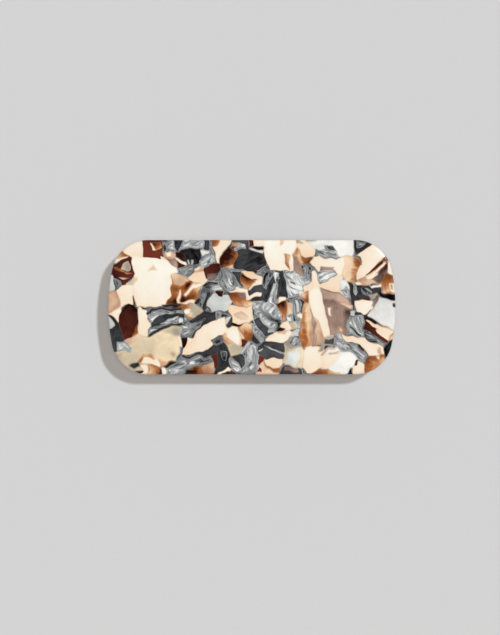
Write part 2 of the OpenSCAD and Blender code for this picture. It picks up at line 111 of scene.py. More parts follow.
# The chips of coloured acetate that show on the plate's face, bottom layer first. Each has its kind, the
# direction in degrees in which its shade or its streaks run, its tone from -0.5, deep, to 0.5, pale, and
# its outline: points in millimetres from the middle of the face, +X to the right and +Y up.
CHIPS = (
    # Left end, upper half.
    ("cream", 90, 0.1, ((-39.5, 14), (-34, 20.5), (-31.5, 20.5), (-31.7, 14.8), (-35.2, 14.8),
        (-37, 14.2))),
    ("cream", 60, 0.35, ((-35.3, 15), (-31.7, 14.7), (-26, 14.3), (-24, 13.5), (-22, 11.5),
        (-21.5, 10.2), (-23.5, 9.5), (-23.3, 6), (-23.6, 3.5), (-25.2, 0.8), (-26.5, 0.2), (-33.6, 0.2),
        (-34.6, 3), (-34.5, 9), (-35.1, 11))),
    ("white", 90, -0.1, ((-42, 10), (-40.2, 9), (-39.7, 5.8), (-40.2, 5), (-43, 4))),
    ("cream", 20, 0.1, ((-39.7, 5), (-38, 6.5), (-36, 7), (-34.5, 8.3), (-34.5, 0.4), (-37, 0.8),
        (-38, 0), (-39.5, 1), (-39, 3.5))),
    ("tan", 180, -0.05, ((-43, 4.2), (-39.9, 4.8), (-38.7, 2.8), (-38.3, 1), (-38.9, -1.2), (-41, -2.2),
        (-43, -1))),
    ("smoke", 90, 0, ((-37.5, 7.6), (-36, 7.2), (-34.7, 8.3), (-33.6, 8.6), (-33.6, 7.4), (-35, 6.5),
        (-37, 6.4))),
    ("charcoal", 80, 0.1, ((-34.75, 3.2), (-34.45, 3.2), (-34.2, 0.5), (-34.6, 0.5))),
    ("cream", 20, 0.2, ((-40.8, 12.5), (-36.4, 14.8), (-36.6, 15.3), (-40, 14.6))),
    ("amber", 200, 0, ((-39.5, 15.8), (-38.2, 16.4), (-35.7, 15.2), (-36.6, 14.9), (-39, 14.1),
        (-40.2, 14))),
    ("pearl", 100, -0.1, ((-40.3, 8.7), (-38.5, 7.8), (-37.6, 6.6), (-39.5, 5.4), (-40, 5.2), (-40, 7))),
    ("mahogany", 0, -0.05, ((-40.7, 12.2), (-36.8, 14.2), (-35.9, 15), (-35.1, 14.6), (-35, 11),
        (-34.2, 9.6), (-34.8, 8.6), (-36, 7.8), (-36.9, 6.5), (-38, 6.7), (-38.2, 7.6), (-39.9, 8.4),
        (-40.7, 9.5), (-41, 11.5))),
    ("smoke", 200, -0.4, ((-38.7, 10.9), (-36.2, 13.7), (-35.6, 12.4), (-35.5, 10.6))),
    ("amber", 0, -0.05, ((-41, 11.9), (-39.4, 12), (-38.3, 10.6), (-35.9, 10.2), (-34.7, 9.6),
        (-35.9, 9.8), (-38.4, 10.2))),
    ("mahogany", 0, 0.05, ((-40.3, 10.6), (-38.4, 9.9), (-35.7, 9.5), (-35.3, 8.8), (-37.5, 8.7),
        (-40, 9))),
    ("smoke", 0, -0.3, ((-39.4, 8.7), (-37.6, 8.7), (-35.8, 8.6), (-37.5, 8.1))),
    ("mahogany", 250, 0.35, ((-31.6, 20.2), (-26.2, 20.2), (-25.8, 14.6), (-26.6, 14.1), (-31.9, 14.9))),
    ("amber", 300, -0.25, ((-29.6, 18.8), (-26.6, 19.2), (-26.4, 17.2), (-28.4, 16.7), (-29, 17.4))),
    ("cream", 60, 0.1, ((-29.7, 18.7), (-29.2, 18.5), (-28.2, 16.8), (-28.9, 16.6))),
    ("tan", 60, 0.3, ((-30.3, 10.5), (-28.6, 12.7), (-27.6, 11.1))),
    ("pearl", 30, 0.1, ((-26, 20), (-22.6, 20), (-22.5, 16.3), (-24, 16.6), (-25.4, 17), (-25.9, 18))),
    ("charcoal", 0, -0.2, ((-26.1, 20), (-24.4, 20), (-24.6, 19), (-26, 19))),
    ("charcoal", 0, -0.1, ((-25.9, 17.1), (-24.9, 16.8), (-25.1, 17.9), (-25.8, 18.2))),
    ("tan", 30, -0.05, ((-25.8, 14.3), (-25.2, 16.3), (-23.5, 16.2), (-21.9, 15.4), (-22.3, 14.2),
        (-24.5, 13.7))),
    ("cream", 0, 0.3, ((-25, 15.9), (-23.8, 16.2), (-23.6, 15), (-24.8, 14.8))),
    ("plum", 300, 0.2, ((-25, 14), (-22.2, 14.1), (-20.2, 12), (-21, 11.4), (-22.6, 12))),
    ("cream", 60, 0.1, ((-26.9, 14.9), (-26.4, 14.9), (-25.3, 13.8), (-26.2, 14))),
    # Left end, lower half.
    ("cream", 70, 0.15, ((-42, -2), (-38.4, 0), (-38.3, -2.4), (-39.1, -4.8))),
    ("white", 90, -0.35, ((-43, -2.5), (-41.2, -2.6), (-39.6, -5.4), (-40.5, -6.5), (-42, -7))),
    ("charcoal", 250, 0, ((-41.7, -2.1), (-41.1, -2.3), (-38.8, -4.9), (-37.5, -7), (-36.6, -9.8),
        (-39.2, -10.2), (-39.3, -13), (-40.5, -13.8), (-42, -10), (-42, -7), (-39.9, -5.2))),
    ("mahogany", 240, -0.25, ((-38, -0.6), (-36, 0.8), (-34.5, 0.7), (-33.3, -0.7), (-33.2, -5),
        (-33.3, -7.7), (-35, -8.8), (-37, -9.8), (-37.9, -7.5), (-38.9, -4.5), (-38.5, -2))),
    ("amber", 300, -0.3, ((-33.9, -5.2), (-33.4, -5), (-33.4, -7.7), (-35, -8.6), (-34.6, -7.2))),
    ("smoke", 20, 0.15, ((-40.8, -14.5), (-38, -12.6), (-35.5, -10.2), (-33.5, -7.7), (-30.2, -8.6),
        (-25, -6.2), (-22, -5.2), (-20.6, -5.8), (-20.8, -8.5), (-21.4, -9), (-21.2, -13.5),
        (-23, -16.2), (-26, -16.4), (-31, -17.5), (-32.5, -19), (-36, -20.5), (-42, -17))),
    ("smoke", 200, -0.25, ((-26.5, -7), (-22, -5.2), (-20.4, -5.8), (-20.8, -8.6), (-22.2, -8.4),
        (-24, -7.8))),
    ("smoke", 60, -0.35, ((-40.6, -13.4), (-38.6, -13.1), (-37.2, -13.4), (-38.2, -14.8), (-40.4, -15))),
    ("pearl", 150, 0.2, ((-39.3, -10.3), (-37, -10), (-35.1, -12), (-35.2, -13.2), (-37, -12.8),
        (-39.2, -12.9))),
    ("tan", 60, 0.15, ((-37, -9.9), (-33.5, -7.9), (-32.5, -8.1), (-33.5, -9.7), (-35.8, -11))),
    ("cream", 90, 0.15, ((-33.1, -0.2), (-31, -0.1), (-30.2, -2.6), (-30.6, -3.2), (-29.4, -5),
        (-30.2, -6.2), (-30.4, -8.5), (-33.2, -8), (-33, -4))),
    ("charcoal", 0, -0.4, ((-32.2, -0.2), (-30.7, -0.3), (-31, -0.8), (-31.9, -0.8))),
    ("amber", 70, 0.2, ((-33.2, -15.6), (-31.7, -13.7), (-30, -13.2), (-28.3, -14.2), (-28.8, -15.2),
        (-26.8, -15), (-25, -15.9), (-23, -15.4), (-24.6, -17.4), (-28, -17), (-32.4, -16.4))),
    ("tan", 90, 0, ((-23.9, -13.2), (-23, -12.8), (-22, -13.6), (-22.8, -14.3))),
    ("cream", 40, 0.2, ((-32.2, -16.2), (-31.6, -14.4), (-30.4, -14.4), (-28.8, -15.5), (-27.6, -14.9),
        (-26.6, -16.6), (-27, -17.6), (-29.5, -16.8))),
    ("cream", 80, 0.2, ((-32.6, -16.6), (-30.4, -17.1), (-30.2, -20), (-32.5, -20), (-31.9, -18.2))),
    ("amber", 200, 0.2, ((-30.5, -17.2), (-29, -16.7), (-27, -17.5), (-26.6, -20), (-30.2, -20),
        (-30, -18.2))),
    ("mahogany", 0, -0.3, ((-26.9, -17.8), (-26.2, -18), (-26.3, -18.9), (-25.8, -19.6), (-27.2, -19.8),
        (-26.8, -18.8))),
    ("cream", 0, 0.4, ((-26.2, -17.4), (-24.8, -18), (-23.5, -19.2), (-24, -20), (-25.8, -20),
        (-26.2, -19))),
    ("charcoal", 30, -0.25, ((-35.7, -17.2), (-34.6, -16.3), (-33, -15.9), (-32.5, -17), (-33.2, -17.2),
        (-34.3, -18.2))),
    ("charcoal", 10, -0.4, ((-33.9, -18.8), (-32.4, -18.3), (-31.7, -18.8), (-32.6, -19.5))),
    # Left of the middle, upper half.
    ("charcoal", 250, -0.1, ((-22.6, 20), (-20, 20), (-20.4, 17.2), (-22, 16.4), (-22.7, 17.5))),
    ("pearl", 20, 0.2, ((-20.1, 20), (-14, 20), (-14, 17), (-17, 17.2), (-19.5, 17.1), (-21.6, 15.9),
        (-21.2, 17), (-20.3, 17.6))),
    ("charcoal", 300, -0.3, ((-22, 15.9), (-19.5, 17), (-17.3, 17.3), (-15, 16.8), (-14.8, 14.5),
        (-15.5, 12.6), (-17.5, 12.2), (-19.4, 12.2), (-21.4, 13.8))),
    ("mahogany", 0, -0.3, ((-22.1, 15.8), (-19.3, 15.8), (-19.3, 14.2), (-21.8, 14.6))),
    # These two small white marks are painted glints of light on the gloss.
    ("white", 100, 0.2, ((-18.7, 13.6), (-18.4, 13.8), (-18.2, 12.6), (-18.6, 12.5))),
    ("white", 100, 0.2, ((-17.7, 13.9), (-17.4, 13.9), (-17.3, 12.7), (-17.6, 12.6))),
    ("mahogany", 330, -0.35, ((-21.8, 13.4), (-19.2, 12.3), (-19.8, 11.5), (-21.6, 11.5))),
    ("cream", 330, 0.3, ((-22.2, 14.3), (-19.3, 13.1), (-19.2, 12.2), (-21.2, 13.1), (-22, 13.8))),
    ("pearl", 200, -0.1, ((-21.3, 10.9), (-18, 12.4), (-16.2, 12.3), (-16.6, 10.9), (-17.2, 9.6),
        (-19, 8.9), (-20.2, 9.2))),
    ("tan", 30, -0.05, ((-17, 10.4), (-15.4, 12), (-14, 11.8), (-13.6, 10.8), (-16, 10.2))),
    ("cream", 30, 0.3, ((-16.5, 11.1), (-15.4, 11.8), (-15.2, 11.4), (-16.2, 10.8))),
    ("pearl", 225, 0.25, ((-15, 13.4), (-12.6, 15.4), (-11, 14.8), (-10.6, 13.2), (-12.4, 12.5),
        (-14.3, 11.7), (-14.9, 12.2))),
    ("charcoal", 225, -0.3, ((-13.1, 13), (-12.1, 13.6), (-12.1, 13.2), (-12.9, 12.7))),
    ("white", 200, 0.3, ((-14.9, 16.3), (-14, 16.8), (-12.6, 16.5), (-12.5, 16), (-13.4, 15.7),
        (-14.4, 15))),
    ("charcoal", 270, 0.2, ((-14, 20), (-12, 20), (-12.4, 16.8), (-13.9, 17))),
    ("pearl", 290, -0.1, ((-12.4, 20), (-11.6, 20), (-10.7, 16), (-10.9, 14.2), (-12.6, 15.6),
        (-12.2, 17))),
    ("amber", 330, 0.1, ((-11.7, 20), (-8.4, 20), (-9.5, 17.6), (-11.6, 17.4))),
    ("cream", 280, 0.2, ((-9.2, 20), (-5.5, 20), (-6.4, 18.2), (-8.8, 15.9), (-9.6, 12.7), (-10.3, 12.6),
        (-10.6, 16), (-11.2, 17.5), (-9.8, 18.2))),
    ("amber", 340, -0.45, ((-6, 17.8), (-9, 15.2), (-9.5, 12.5), (-9.1, 11.5), (-7.5, 11.4),
        (-5.4, 11.5), (-5.3, 13), (-4, 14.6), (-4.1, 16.2))),
    ("tan", 60, 0.35, ((-7.3, 11.6), (-5.4, 11.5), (-5.1, 12.6), (-6, 12.4))),
    ("charcoal", 0, 0.3, ((-5.4, 20), (-1, 20), (-0.8, 16.8), (-4.4, 16.4), (-5.9, 17.2))),
    ("pearl", 10, 0.15, ((-5.3, 17.5), (-3.4, 18.5), (-1.9, 18.3), (-1.6, 16.9), (-4.9, 16.8))),
    ("tan", 0, -0.2, ((-5.8, 18.9), (-3.6, 18.8), (-4.6, 18.1), (-5.6, 18))),
    ("cream", 10, -0.15, ((-19, 8.4), (-17, 9.9), (-15.5, 10.5), (-14.2, 10.3), (-13, 8), (-14, 6.8),
        (-17.4, 7.1))),
    ("mahogany", 240, 0, ((-14.1, 11), (-11.6, 12.7), (-9.8, 12.7), (-9.2, 11), (-10.6, 8.8),
        (-12.2, 7.7), (-13.3, 8.5), (-13.9, 10.2))),
    ("plum", 240, -0.15, ((-12.9, 9.8), (-10, 9.8), (-11.6, 7.9), (-13, 8.4))),
    ("amber", 60, 0.05, ((-23.5, 9.4), (-22, 9.6), (-19.4, 9), (-17.9, 7.5), (-14.4, 7), (-15, 4.5),
        (-16, 2.5), (-17.5, 1.6), (-22, 1), (-25.2, 0.7), (-23.3, 3.3), (-23.4, 6.3))),
    ("tan", 110, -0.05, ((-23.4, 9.6), (-22, 9.7), (-19.6, 9), (-19, 7.3), (-21, 6), (-23, 7))),
    ("amber", 250, -0.35, ((-23.4, 6.4), (-21, 5.6), (-19.3, 7.2), (-17.5, 7.3), (-17.9, 5.6),
        (-19.6, 3.4), (-21, 3.6), (-23.3, 4))),
    ("amber", 120, -0.25, ((-23, 3.4), (-21.8, 4.2), (-21.6, 1.2), (-24.9, 0.8))),
    ("amber", 60, -0.3, ((-20.7, 4.2), (-19.3, 3.2), (-17.2, 5.4), (-15.2, 5.6), (-16.4, 2.4),
        (-20.6, 1.4))),
    ("cream", 40, 0.25, ((-19.8, 3.6), (-19.2, 3.2), (-17.2, 5.5), (-15, 6.1), (-14.2, 6.9),
        (-17.4, 6.7), (-18.4, 5.2))),
    ("cream", 90, 0.2, ((-21.7, 1.1), (-21.6, 3.6), (-21.2, 5), (-20.8, 5), (-20.9, 1.1))),
    ("cream", 0, 0, ((-21, 1), (-16.6, 0.9), (-16.4, 2), (-19.6, 1.9))),
    ("pearl", 260, -0.15, ((-15.2, 4.8), (-12.3, 4.8), (-13, 1), (-14.3, -1.2), (-16.6, -0.6),
        (-15.7, 1.5))),
    ("charcoal", 250, -0.1, ((-12.7, 4.7), (-11.9, 4.3), (-13.8, -1.4), (-14.6, -1.2))),
    ("charcoal", 230, -0.1, ((-15.4, 3), (-15.1, 1.6), (-16.3, 0.8), (-16.8, 1.2))),
    ("white", 20, -0.25, ((-11.3, 4.1), (-8.5, 3.5), (-6.8, 3.6), (-5.6, 1.5), (-6.4, -0.4), (-8, -1.2),
        (-11.6, -1.2), (-13.2, 0.6), (-12.3, 2.6))),
    ("mahogany", 20, -0.3, ((-11, 4.8), (-8.2, 4.6), (-8.5, 3.1), (-9.9, 3.2))),
    ("white", 0, -0.2, ((-12.2, 5.6), (-9, 5.7), (-8.6, 5.1), (-10.8, 5))),
    ("pearl", 290, -0.1, ((-8.9, 10.8), (-7, 11.4), (-5.8, 10.2), (-2.9, 5.6), (-4, 5), (-7, 4.2),
        (-8.6, 5.8), (-9.4, 6.8), (-8.9, 9))),
    ("white", 300, 0.2, ((-6.9, 8.5), (-6.3, 8.3), (-5.8, 6.2), (-6.5, 6.4))),
    ("white", 300, 0.3, ((-4.9, 5.9), (-4, 6), (-3.4, 5.4), (-4.6, 5))),
    ("charcoal", 290, 0.35, ((-5.9, 10.6), (-3, 10.3), (-3.2, 8), (-2, 5.8), (-3.1, 5.9), (-4.5, 8))),
    ("amber", 300, 0.1, ((-6.8, 4.3), (-3, 4.5), (-1.9, 4), (-1.6, 2.5), (0.4, 1.4), (0.6, -0.3),
        (-3.5, -0.2), (-6.2, 2))),
    ("plum", 250, -0.05, ((-4.6, 4.4), (-2.2, 4.1), (-1.7, 2.6), (-3, 2.5))),
    ("cream", 330, 0.2, ((-7, 4.7), (-3.8, 5.4), (-1.2, 5.2), (-1, 2.4), (-2, 4.3), (-6, 4.6))),
    # Left of the middle, lower half.
    ("smoke", 30, -0.3, ((-18.4, 0.8), (-16.4, 0.9), (-14, -1.4), (-16, -2.5), (-17.6, -3.2),
        (-18.2, -1.5))),
    ("amber", 0, -0.35, ((-23, 0.8), (-18.2, 1), (-18.3, -0.3), (-20.5, -0.6), (-23, -0.1))),
    ("cream", 60, 0.3, ((-20, -1.3), (-19, -0.5), (-18.2, -0.6), (-18, -1.8), (-19, -2.5))),
    ("amber", 60, 0.2, ((-20.3, -2.6), (-18.9, -2.3), (-17.8, -1.6), (-17.4, -2.8), (-18.6, -3.7),
        (-20, -3.2))),
    ("pearl", 195, -0.05, ((-30.4, -2.4), (-29, -1), (-27, -0.2), (-20, -0.7), (-18.6, -3.6), (-17, -5),
        (-18, -6.2), (-20.2, -6.1), (-22, -5), (-26, -6.2), (-30.2, -8.6), (-30.2, -6.5), (-29.2, -5),
        (-30, -3.5))),
    ("white", 190, 0.2, ((-29.2, -3.5), (-27.4, -2.4), (-27.2, -2.9), (-28.8, -3.9))),
    ("white", 100, 0.2, ((-21.4, -3.4), (-20.7, -2.6), (-20, -4), (-20.2, -5), (-21.2, -4.8))),
    ("white", 10, 0.3, ((-20.4, -5.7), (-17.4, -5.5), (-17.8, -6.2), (-19.8, -6.3))),
    ("charcoal", 190, -0.2, ((-30.8, -2.4), (-29, -1.1), (-27, -0.7), (-24, -1), (-20.2, -0.9),
        (-20.2, -0.4), (-24, -0.5), (-26.8, -0.1), (-29.2, -0.5), (-31, -1.8))),
    ("charcoal", 0, -0.2, ((-26.2, 0.7), (-20.4, 0.8), (-20.6, 0.3), (-25.6, 0.1))),
    ("charcoal", 195, -0.1, ((-29.6, -5.1), (-27, -2.3), (-24, -1.9), (-20, -1.8), (-19.6, -3),
        (-22, -2.8), (-24, -3.3), (-26, -4.4))),
    ("charcoal", 195, -0.2, ((-30.2, -8.7), (-30, -7.7), (-26.5, -6), (-23, -4.9), (-20.4, -4.4),
        (-19.6, -5.2), (-22, -5.2), (-25, -6), (-28, -7.6))),
    ("charcoal", 195, -0.1, ((-29.7, -6.2), (-26.8, -5), (-27, -4.4), (-29.3, -5.1))),
    ("charcoal", 30, 0, ((-18.2, -4.4), (-16, -2.6), (-13.8, -1.4), (-11, -1.2), (-6.4, -2.4),
        (-8.4, -2.9), (-11, -4), (-13, -5), (-15.6, -6.6), (-16.6, -6.9), (-17, -5.6))),
    ("pearl", 200, -0.1, ((-20.8, -7.3), (-17.5, -5), (-13.8, -3), (-13.5, -3.5), (-15, -5.3),
        (-16.4, -6.8), (-18.6, -8.8), (-20.2, -8.6))),
    ("charcoal", 60, -0.1, ((-16.6, -6.9), (-15.9, -6.9), (-17.5, -10), (-19, -11.6), (-17.6, -9))),
    ("mahogany", 100, -0.45, ((-20.7, -9), (-18.7, -8.8), (-18.7, -11.5), (-19.7, -12.7), (-20.4, -11))),
    ("cream", 90, 0.3, ((-18.8, -8.9), (-17.5, -9.2), (-18.2, -10.8), (-18.9, -11.6))),
    ("cream", 100, 0.25, ((-21.6, -8.8), (-20.8, -8.8), (-20.4, -12), (-21.2, -11))),
    ("cream", 35, 0.1, ((-8, -2.8), (-11, -3.9), (-15, -6), (-16.2, -7.6), (-17.7, -10), (-20, -12.5),
        (-20.4, -14), (-15.5, -13.1), (-12.6, -12.5), (-11.2, -10.6), (-12.1, -9.7), (-8.6, -8.3),
        (-7.3, -8), (-7.3, -4.4))),
    ("charcoal", 80, 0, ((-6.1, -2.7), (-5.6, -3), (-5.6, -5.6), (-6.8, -6.1), (-7.4, -5.2), (-6.8, -4))),
    ("white", 30, -0.2, ((-7.6, -3.1), (-6.3, -2.8), (-6.9, -4), (-7.4, -4.8))),
    ("pearl", 100, 0.05, ((-10.8, -3.7), (-10.2, -1.4), (-8.8, -1.2), (-9, -3))),
    ("cream", 300, -0.15, ((-6.6, 0.2), (-4.5, 0.5), (-1.8, -0.2), (0.4, 0.4), (0.5, -3.2), (-1, -4.7),
        (-5.6, -5), (-5.6, -2.8), (-6.8, -1.2))),
    ("tan", 300, 0.3, ((-5.4, -2), (-3, -1.2), (-0.8, -2.8), (-1.6, -4), (-4.4, -3))),
    ("mahogany", 0, -0.35, ((-6, -4.9), (-1.4, -4.7), (-1.2, -5.2), (-5.6, -5.6))),
    ("amber", 100, 0.1, ((-4.2, -5.6), (-1.8, -4.6), (0, -5), (0.4, -7), (0.8, -9.6), (-1, -10.2),
        (-2.4, -9.4), (-3.2, -7.3))),
    ("smoke", 200, -0.15, ((-8.4, -8.3), (-6.8, -9.5), (-4.5, -10.6), (-2.2, -11.8), (-3.5, -14),
        (-6.4, -14.3), (-7, -12))),
    ("amber", 20, 0.3, ((-8.4, -7.2), (-7.2, -7.4), (-6.8, -9), (-5.6, -10.5), (-6.8, -11), (-8.4, -9.4))),
    ("cream", 340, 0.3, ((-7.2, -6.2), (-4.2, -5.7), (-3.4, -7.4), (-2.3, -9), (-2.8, -11.2),
        (-4.5, -10.6), (-6.3, -9.7), (-7.2, -8.5), (-7.6, -7))),
    ("tan", 340, 0.3, ((-4, -6), (-3.4, -7.4), (-2.3, -9), (-2.8, -11.2), (-3.6, -10.8), (-3.6, -9))),
    ("charcoal", 80, -0.05, ((-12.7, -12.4), (-11.2, -11), (-8.5, -9.9), (-6.8, -12), (-6.2, -15.5),
        (-5.8, -18), (-4.2, -20), (-11.4, -20), (-10.6, -17), (-12, -14.4), (-15.4, -14.6),
        (-15.2, -13.2))),
    ("mahogany", 80, 0, ((-11.9, -14.3), (-10.3, -13.4), (-9.7, -16.6), (-10.6, -18), (-11.4, -15.9))),
    ("pearl", 200, -0.2, ((-11.9, -9.8), (-10, -8.8), (-8.6, -8.4), (-8.5, -10), (-10.5, -11.2))),
    ("pearl", 100, -0.35, ((-9, -12.6), (-7.4, -13), (-7.2, -15.4), (-8.4, -15.8), (-9, -14.4))),
    ("mahogany", 0, 0.1, ((-3.1, -9.2), (-1, -10), (-0.2, -10.2), (-2.3, -11.8), (-3, -11))),
    ("pearl", 190, 0.0, ((-25, -20), (-24.8, -17.8), (-22.4, -15.9), (-20.5, -14.6), (-17, -14.8),
        (-14.8, -13.9), (-14, -15), (-12.2, -14.5), (-11.2, -15.8), (-13.5, -16.3), (-16.8, -17.2),
        (-19, -17.8), (-20.4, -20))),
    ("white", 190, 0.3, ((-20, -16), (-16.6, -15.8), (-17, -16.7), (-19.4, -16.6))),
    ("charcoal", 0, -0.4, ((-19.3, -16), (-18.2, -16.1), (-18.4, -16.5), (-19.1, -16.4))),
    ("charcoal", 30, -0.2, ((-25.3, -17.5), (-24, -16), (-22.1, -15.6), (-22.8, -16.4), (-24.8, -18))),
    ("charcoal", 190, 0.05, ((-20.6, -14.2), (-18, -14.2), (-15.4, -13.1), (-14.6, -13.6), (-18, -14.9),
        (-20.4, -14.8))),
    ("amber", 0, -0.4, ((-18.9, -18.6), (-17, -17.4), (-14.4, -16.8), (-13.5, -20), (-18.8, -20))),
    ("tan", 60, -0.15, ((-14.6, -17), (-11.2, -16.2), (-10.7, -18.2), (-11.8, -20), (-13.6, -20))),
    ("cream", 30, 0.2, ((-10.2, -20), (-9.8, -19), (-8, -18.5), (-6.9, -17.5), (-5.9, -18.1),
        (-6.6, -18.9), (-8.6, -19.3), (-9, -20))),
    ("mahogany", 10, -0.2, ((-8.4, -20), (-7, -18.9), (-4.6, -19), (-4.4, -20))),
    ("pearl", 330, 0.25, ((-6.6, -14.8), (-5.8, -14.6), (-3.9, -16.5), (-2.9, -18.6), (-4.2, -19),
        (-6.2, -17))),
    ("charcoal", 300, 0.1, ((-5.9, -14.5), (-3.1, -13.5), (-1.8, -14.5), (-2, -16.5), (-3, -18.2),
        (-3.8, -16.3))),
    # Right of the middle, upper half.
    ("charcoal", 20, 0.1, ((-4, 16.6), (0, 16.8), (3.8, 16.1), (4.4, 13), (3.6, 12), (1, 10.2),
        (-0.6, 10.4), (-4.4, 11.2), (-5.4, 11.8), (-5.3, 13), (-4, 14.7))),
    ("charcoal", 20, -0.1, ((-1, 16.8), (3.8, 16.2), (4.4, 13), (2.6, 12.4), (-1.4, 13.6))),
    ("cream", 60, 0.15, ((0.3, 20), (3.5, 20), (3.5, 17.7), (0.5, 17.8))),
    ("mahogany", 80, -0.1, ((-0.9, 20), (0.2, 20), (0.3, 18.2), (-0.6, 17.8))),
    ("charcoal", 345, -0.5, ((-0.7, 17.5), (1.5, 17.9), (3.2, 17.3), (3.6, 16.3), (1.2, 16.8))),
    ("white", 345, 0.2, ((-0.5, 17.3), (3.4, 16.3), (3.2, 15.7), (0.2, 16.6))),
    ("cream", 80, 0.4, ((3.6, 20), (9.6, 20), (13, 20), (13.4, 17.5), (12.8, 15), (9.7, 15.5), (9.6, 13),
        (10.6, 11), (11.6, 10.4), (8.6, 10.6), (5.4, 11), (4.6, 12.4), (3.5, 16.6))),
    ("tan", 60, 0.4, ((8.3, 20), (9.8, 20), (9.2, 18.6), (8.3, 18))),
    ("amber", 20, 0.1, ((9.7, 15.7), (11.3, 15.1), (11.2, 13), (11.1, 10.9), (10, 12.4))),
    ("cream", 90, 0.3, ((11.3, 15.2), (12, 15.1), (12.3, 12.6), (12.7, 10.5), (11, 10.9))),
    ("plum", 280, 0.1, ((12, 15.2), (13.6, 14.6), (15.2, 12), (15.1, 8.6), (12.9, 8.8), (12.3, 10.6))),
    ("amber", 300, 0.3, ((12, 15.2), (12.8, 17.2), (13.4, 18), (14, 16), (15.6, 12.8), (14.6, 12.4),
        (13.2, 14.6))),
    ("amber", 110, 0.0, ((13.6, 17), (14.6, 15), (16, 14.4), (18.4, 15.1), (17.3, 13.9), (16.9, 12.5),
        (15, 12.7), (14, 14.6))),
    ("cream", 60, -0.05, ((13.3, 18.2), (14.2, 20), (18.7, 20), (18.6, 15.5), (17.6, 14.9), (16, 14.5),
        (14.6, 15.2))),
    ("white", 20, 0.35, ((14.2, 20.5), (30, 20.5), (29.6, 14.8), (26, 14.8), (24, 14), (19.6, 14.6),
        (18.7, 16.8), (16.6, 18.6))),
    ("smoke", 0, -0.5, ((13.6, 19.8), (15.4, 18.6), (14.6, 18.4), (13.2, 19.4))),
    ("smoke", 0, -0.4, ((15.4, 20), (20, 20), (18.6, 19.2), (16, 19.1))),
    ("cream", 20, 0.25, ((17, 13), (18.2, 14.8), (20.5, 14.6), (24.5, 14), (28, 15), (28, 12),
        (27.3, 9.5), (25, 9), (23.8, 11), (20, 11.5), (19.4, 9.9), (18.4, 11.8))),
    ("pearl", 345, 0, ((18.6, 17.2), (20.2, 17), (21, 18.3), (23.9, 17.7), (25.4, 14.8), (24.5, 14.1),
        (20.5, 14.7), (18.9, 15.9))),
    ("white", 340, 0.1, ((18.6, 18), (20.8, 18.3), (21.6, 16.8), (19.4, 16.6))),
    ("charcoal", 330, 0.4, ((21.6, 18.2), (23.9, 17.7), (24.8, 16.2), (22.6, 17))),
    ("plum", 0, 0.25, ((20, 12), (24.1, 11.6), (23.5, 11), (20.5, 10.4))),
    ("pearl", 20, 0.2, ((19.1, 9.5), (20.4, 10.6), (24.2, 10.7), (25.2, 9.4), (22.5, 8), (20.3, 6.9),
        (19.3, 7.2))),
    ("tan", 180, 0.4, ((27.2, 15.2), (29.7, 14.9), (31.6, 13.9), (32, 12.4), (30.4, 10), (30, 6.8),
        (27.6, 7.5), (25.9, 9.4), (26.8, 11.5))),
    ("amber", 180, 0.0, ((29.8, 14.8), (31.6, 13.9), (32, 12.4), (30.4, 10), (30, 6.8), (28.6, 7.4),
        (29, 10.4))),
    ("cream", 100, 0.2, ((17, 10.8), (18.3, 10.8), (19.3, 9), (19.5, 7), (20.4, 5.8), (18.4, 5),
        (17.4, 7.8))),
    ("pearl", 300, -0.05, ((14.6, 12.6), (16.6, 12.7), (18.4, 11.5), (17.2, 10.9), (17.4, 7.8), (15, 8.4))),
    ("pearl", 270, 0.15, ((15.3, 11.8), (16, 11.6), (15.7, 9), (14.7, 8.8))),
    ("pearl", 300, 0.2, ((9.8, 10.5), (13, 10.4), (15, 8.4), (17.4, 7.9), (17.6, 6), (16, 4.4),
        (14, 3.3), (10.3, 2.9), (10.1, 5), (9.5, 7.5))),
    ("white", 330, 0.3, ((10.2, 8.6), (10.9, 6.6), (13, 5.1), (15.1, 5.4), (14.4, 6.1), (12.4, 6.6),
        (11, 8))),
    ("charcoal", 330, 0.4, ((11.1, 7.5), (12.7, 6.9), (12.5, 6.6), (11.3, 7))),
    ("cream", 20, -0.05, ((15.3, 6.2), (17.6, 7.2), (17.9, 5.4), (15.2, 4.2))),
    ("charcoal", 260, 0.3, ((2.8, 9), (5, 10.9), (7.5, 10.7), (9, 10.3), (9.9, 6.4), (10.4, 2.6),
        (7.7, 2.8), (7, 0.6), (4, 0.9), (2.6, 2.4), (3, 6.8))),
    ("charcoal", 265, -0.2, ((8, 10.2), (9, 10.2), (9.9, 6.2), (10.4, 2.8), (7.8, 2.8), (7.4, 5),
        (8.4, 7.6))),
    ("pearl", 255, -0.3, ((3, 8.9), (4.6, 10.7), (6.4, 10.4), (5.4, 7.4), (4, 5), (3.2, 6))),
    ("pearl", 265, 0.1, ((6.4, 10.3), (7.9, 10.1), (8.2, 8.4), (7.2, 6.8), (6.4, 8.4))),
    ("pearl", 260, 0.15, ((4.4, 2), (5.2, 4.4), (6.4, 7), (7.7, 6.7), (7.3, 3), (6.8, 0.6), (4.6, 0.8))),
    ("charcoal", 250, -0.15, ((4, 1), (4.9, 3), (5.9, 6.6), (5.4, 6.4), (4, 3.4), (3.4, 1.6))),
    ("cream", 10, 0.25, ((8, 2.9), (9.9, 2.9), (10.1, 2), (7.6, 0.9))),
    ("charcoal", 10, 0.3, ((-1.1, 4.8), (0, 6), (2.9, 6.9), (3.2, 4.2), (0.6, 4), (-0.9, 3.2))),
    ("cream", 20, 0.25, ((-1.2, 6.2), (0.8, 7.6), (2.8, 8.3), (2.9, 6.9), (0.8, 6.3), (-0.6, 5.2))),
    ("cream", 20, 0.25, ((-1.4, 3.4), (-0.8, 3.2), (0.6, 4.1), (3, 4.3), (3.1, 3.2), (0.6, 2.9),
        (-1.4, 2))),
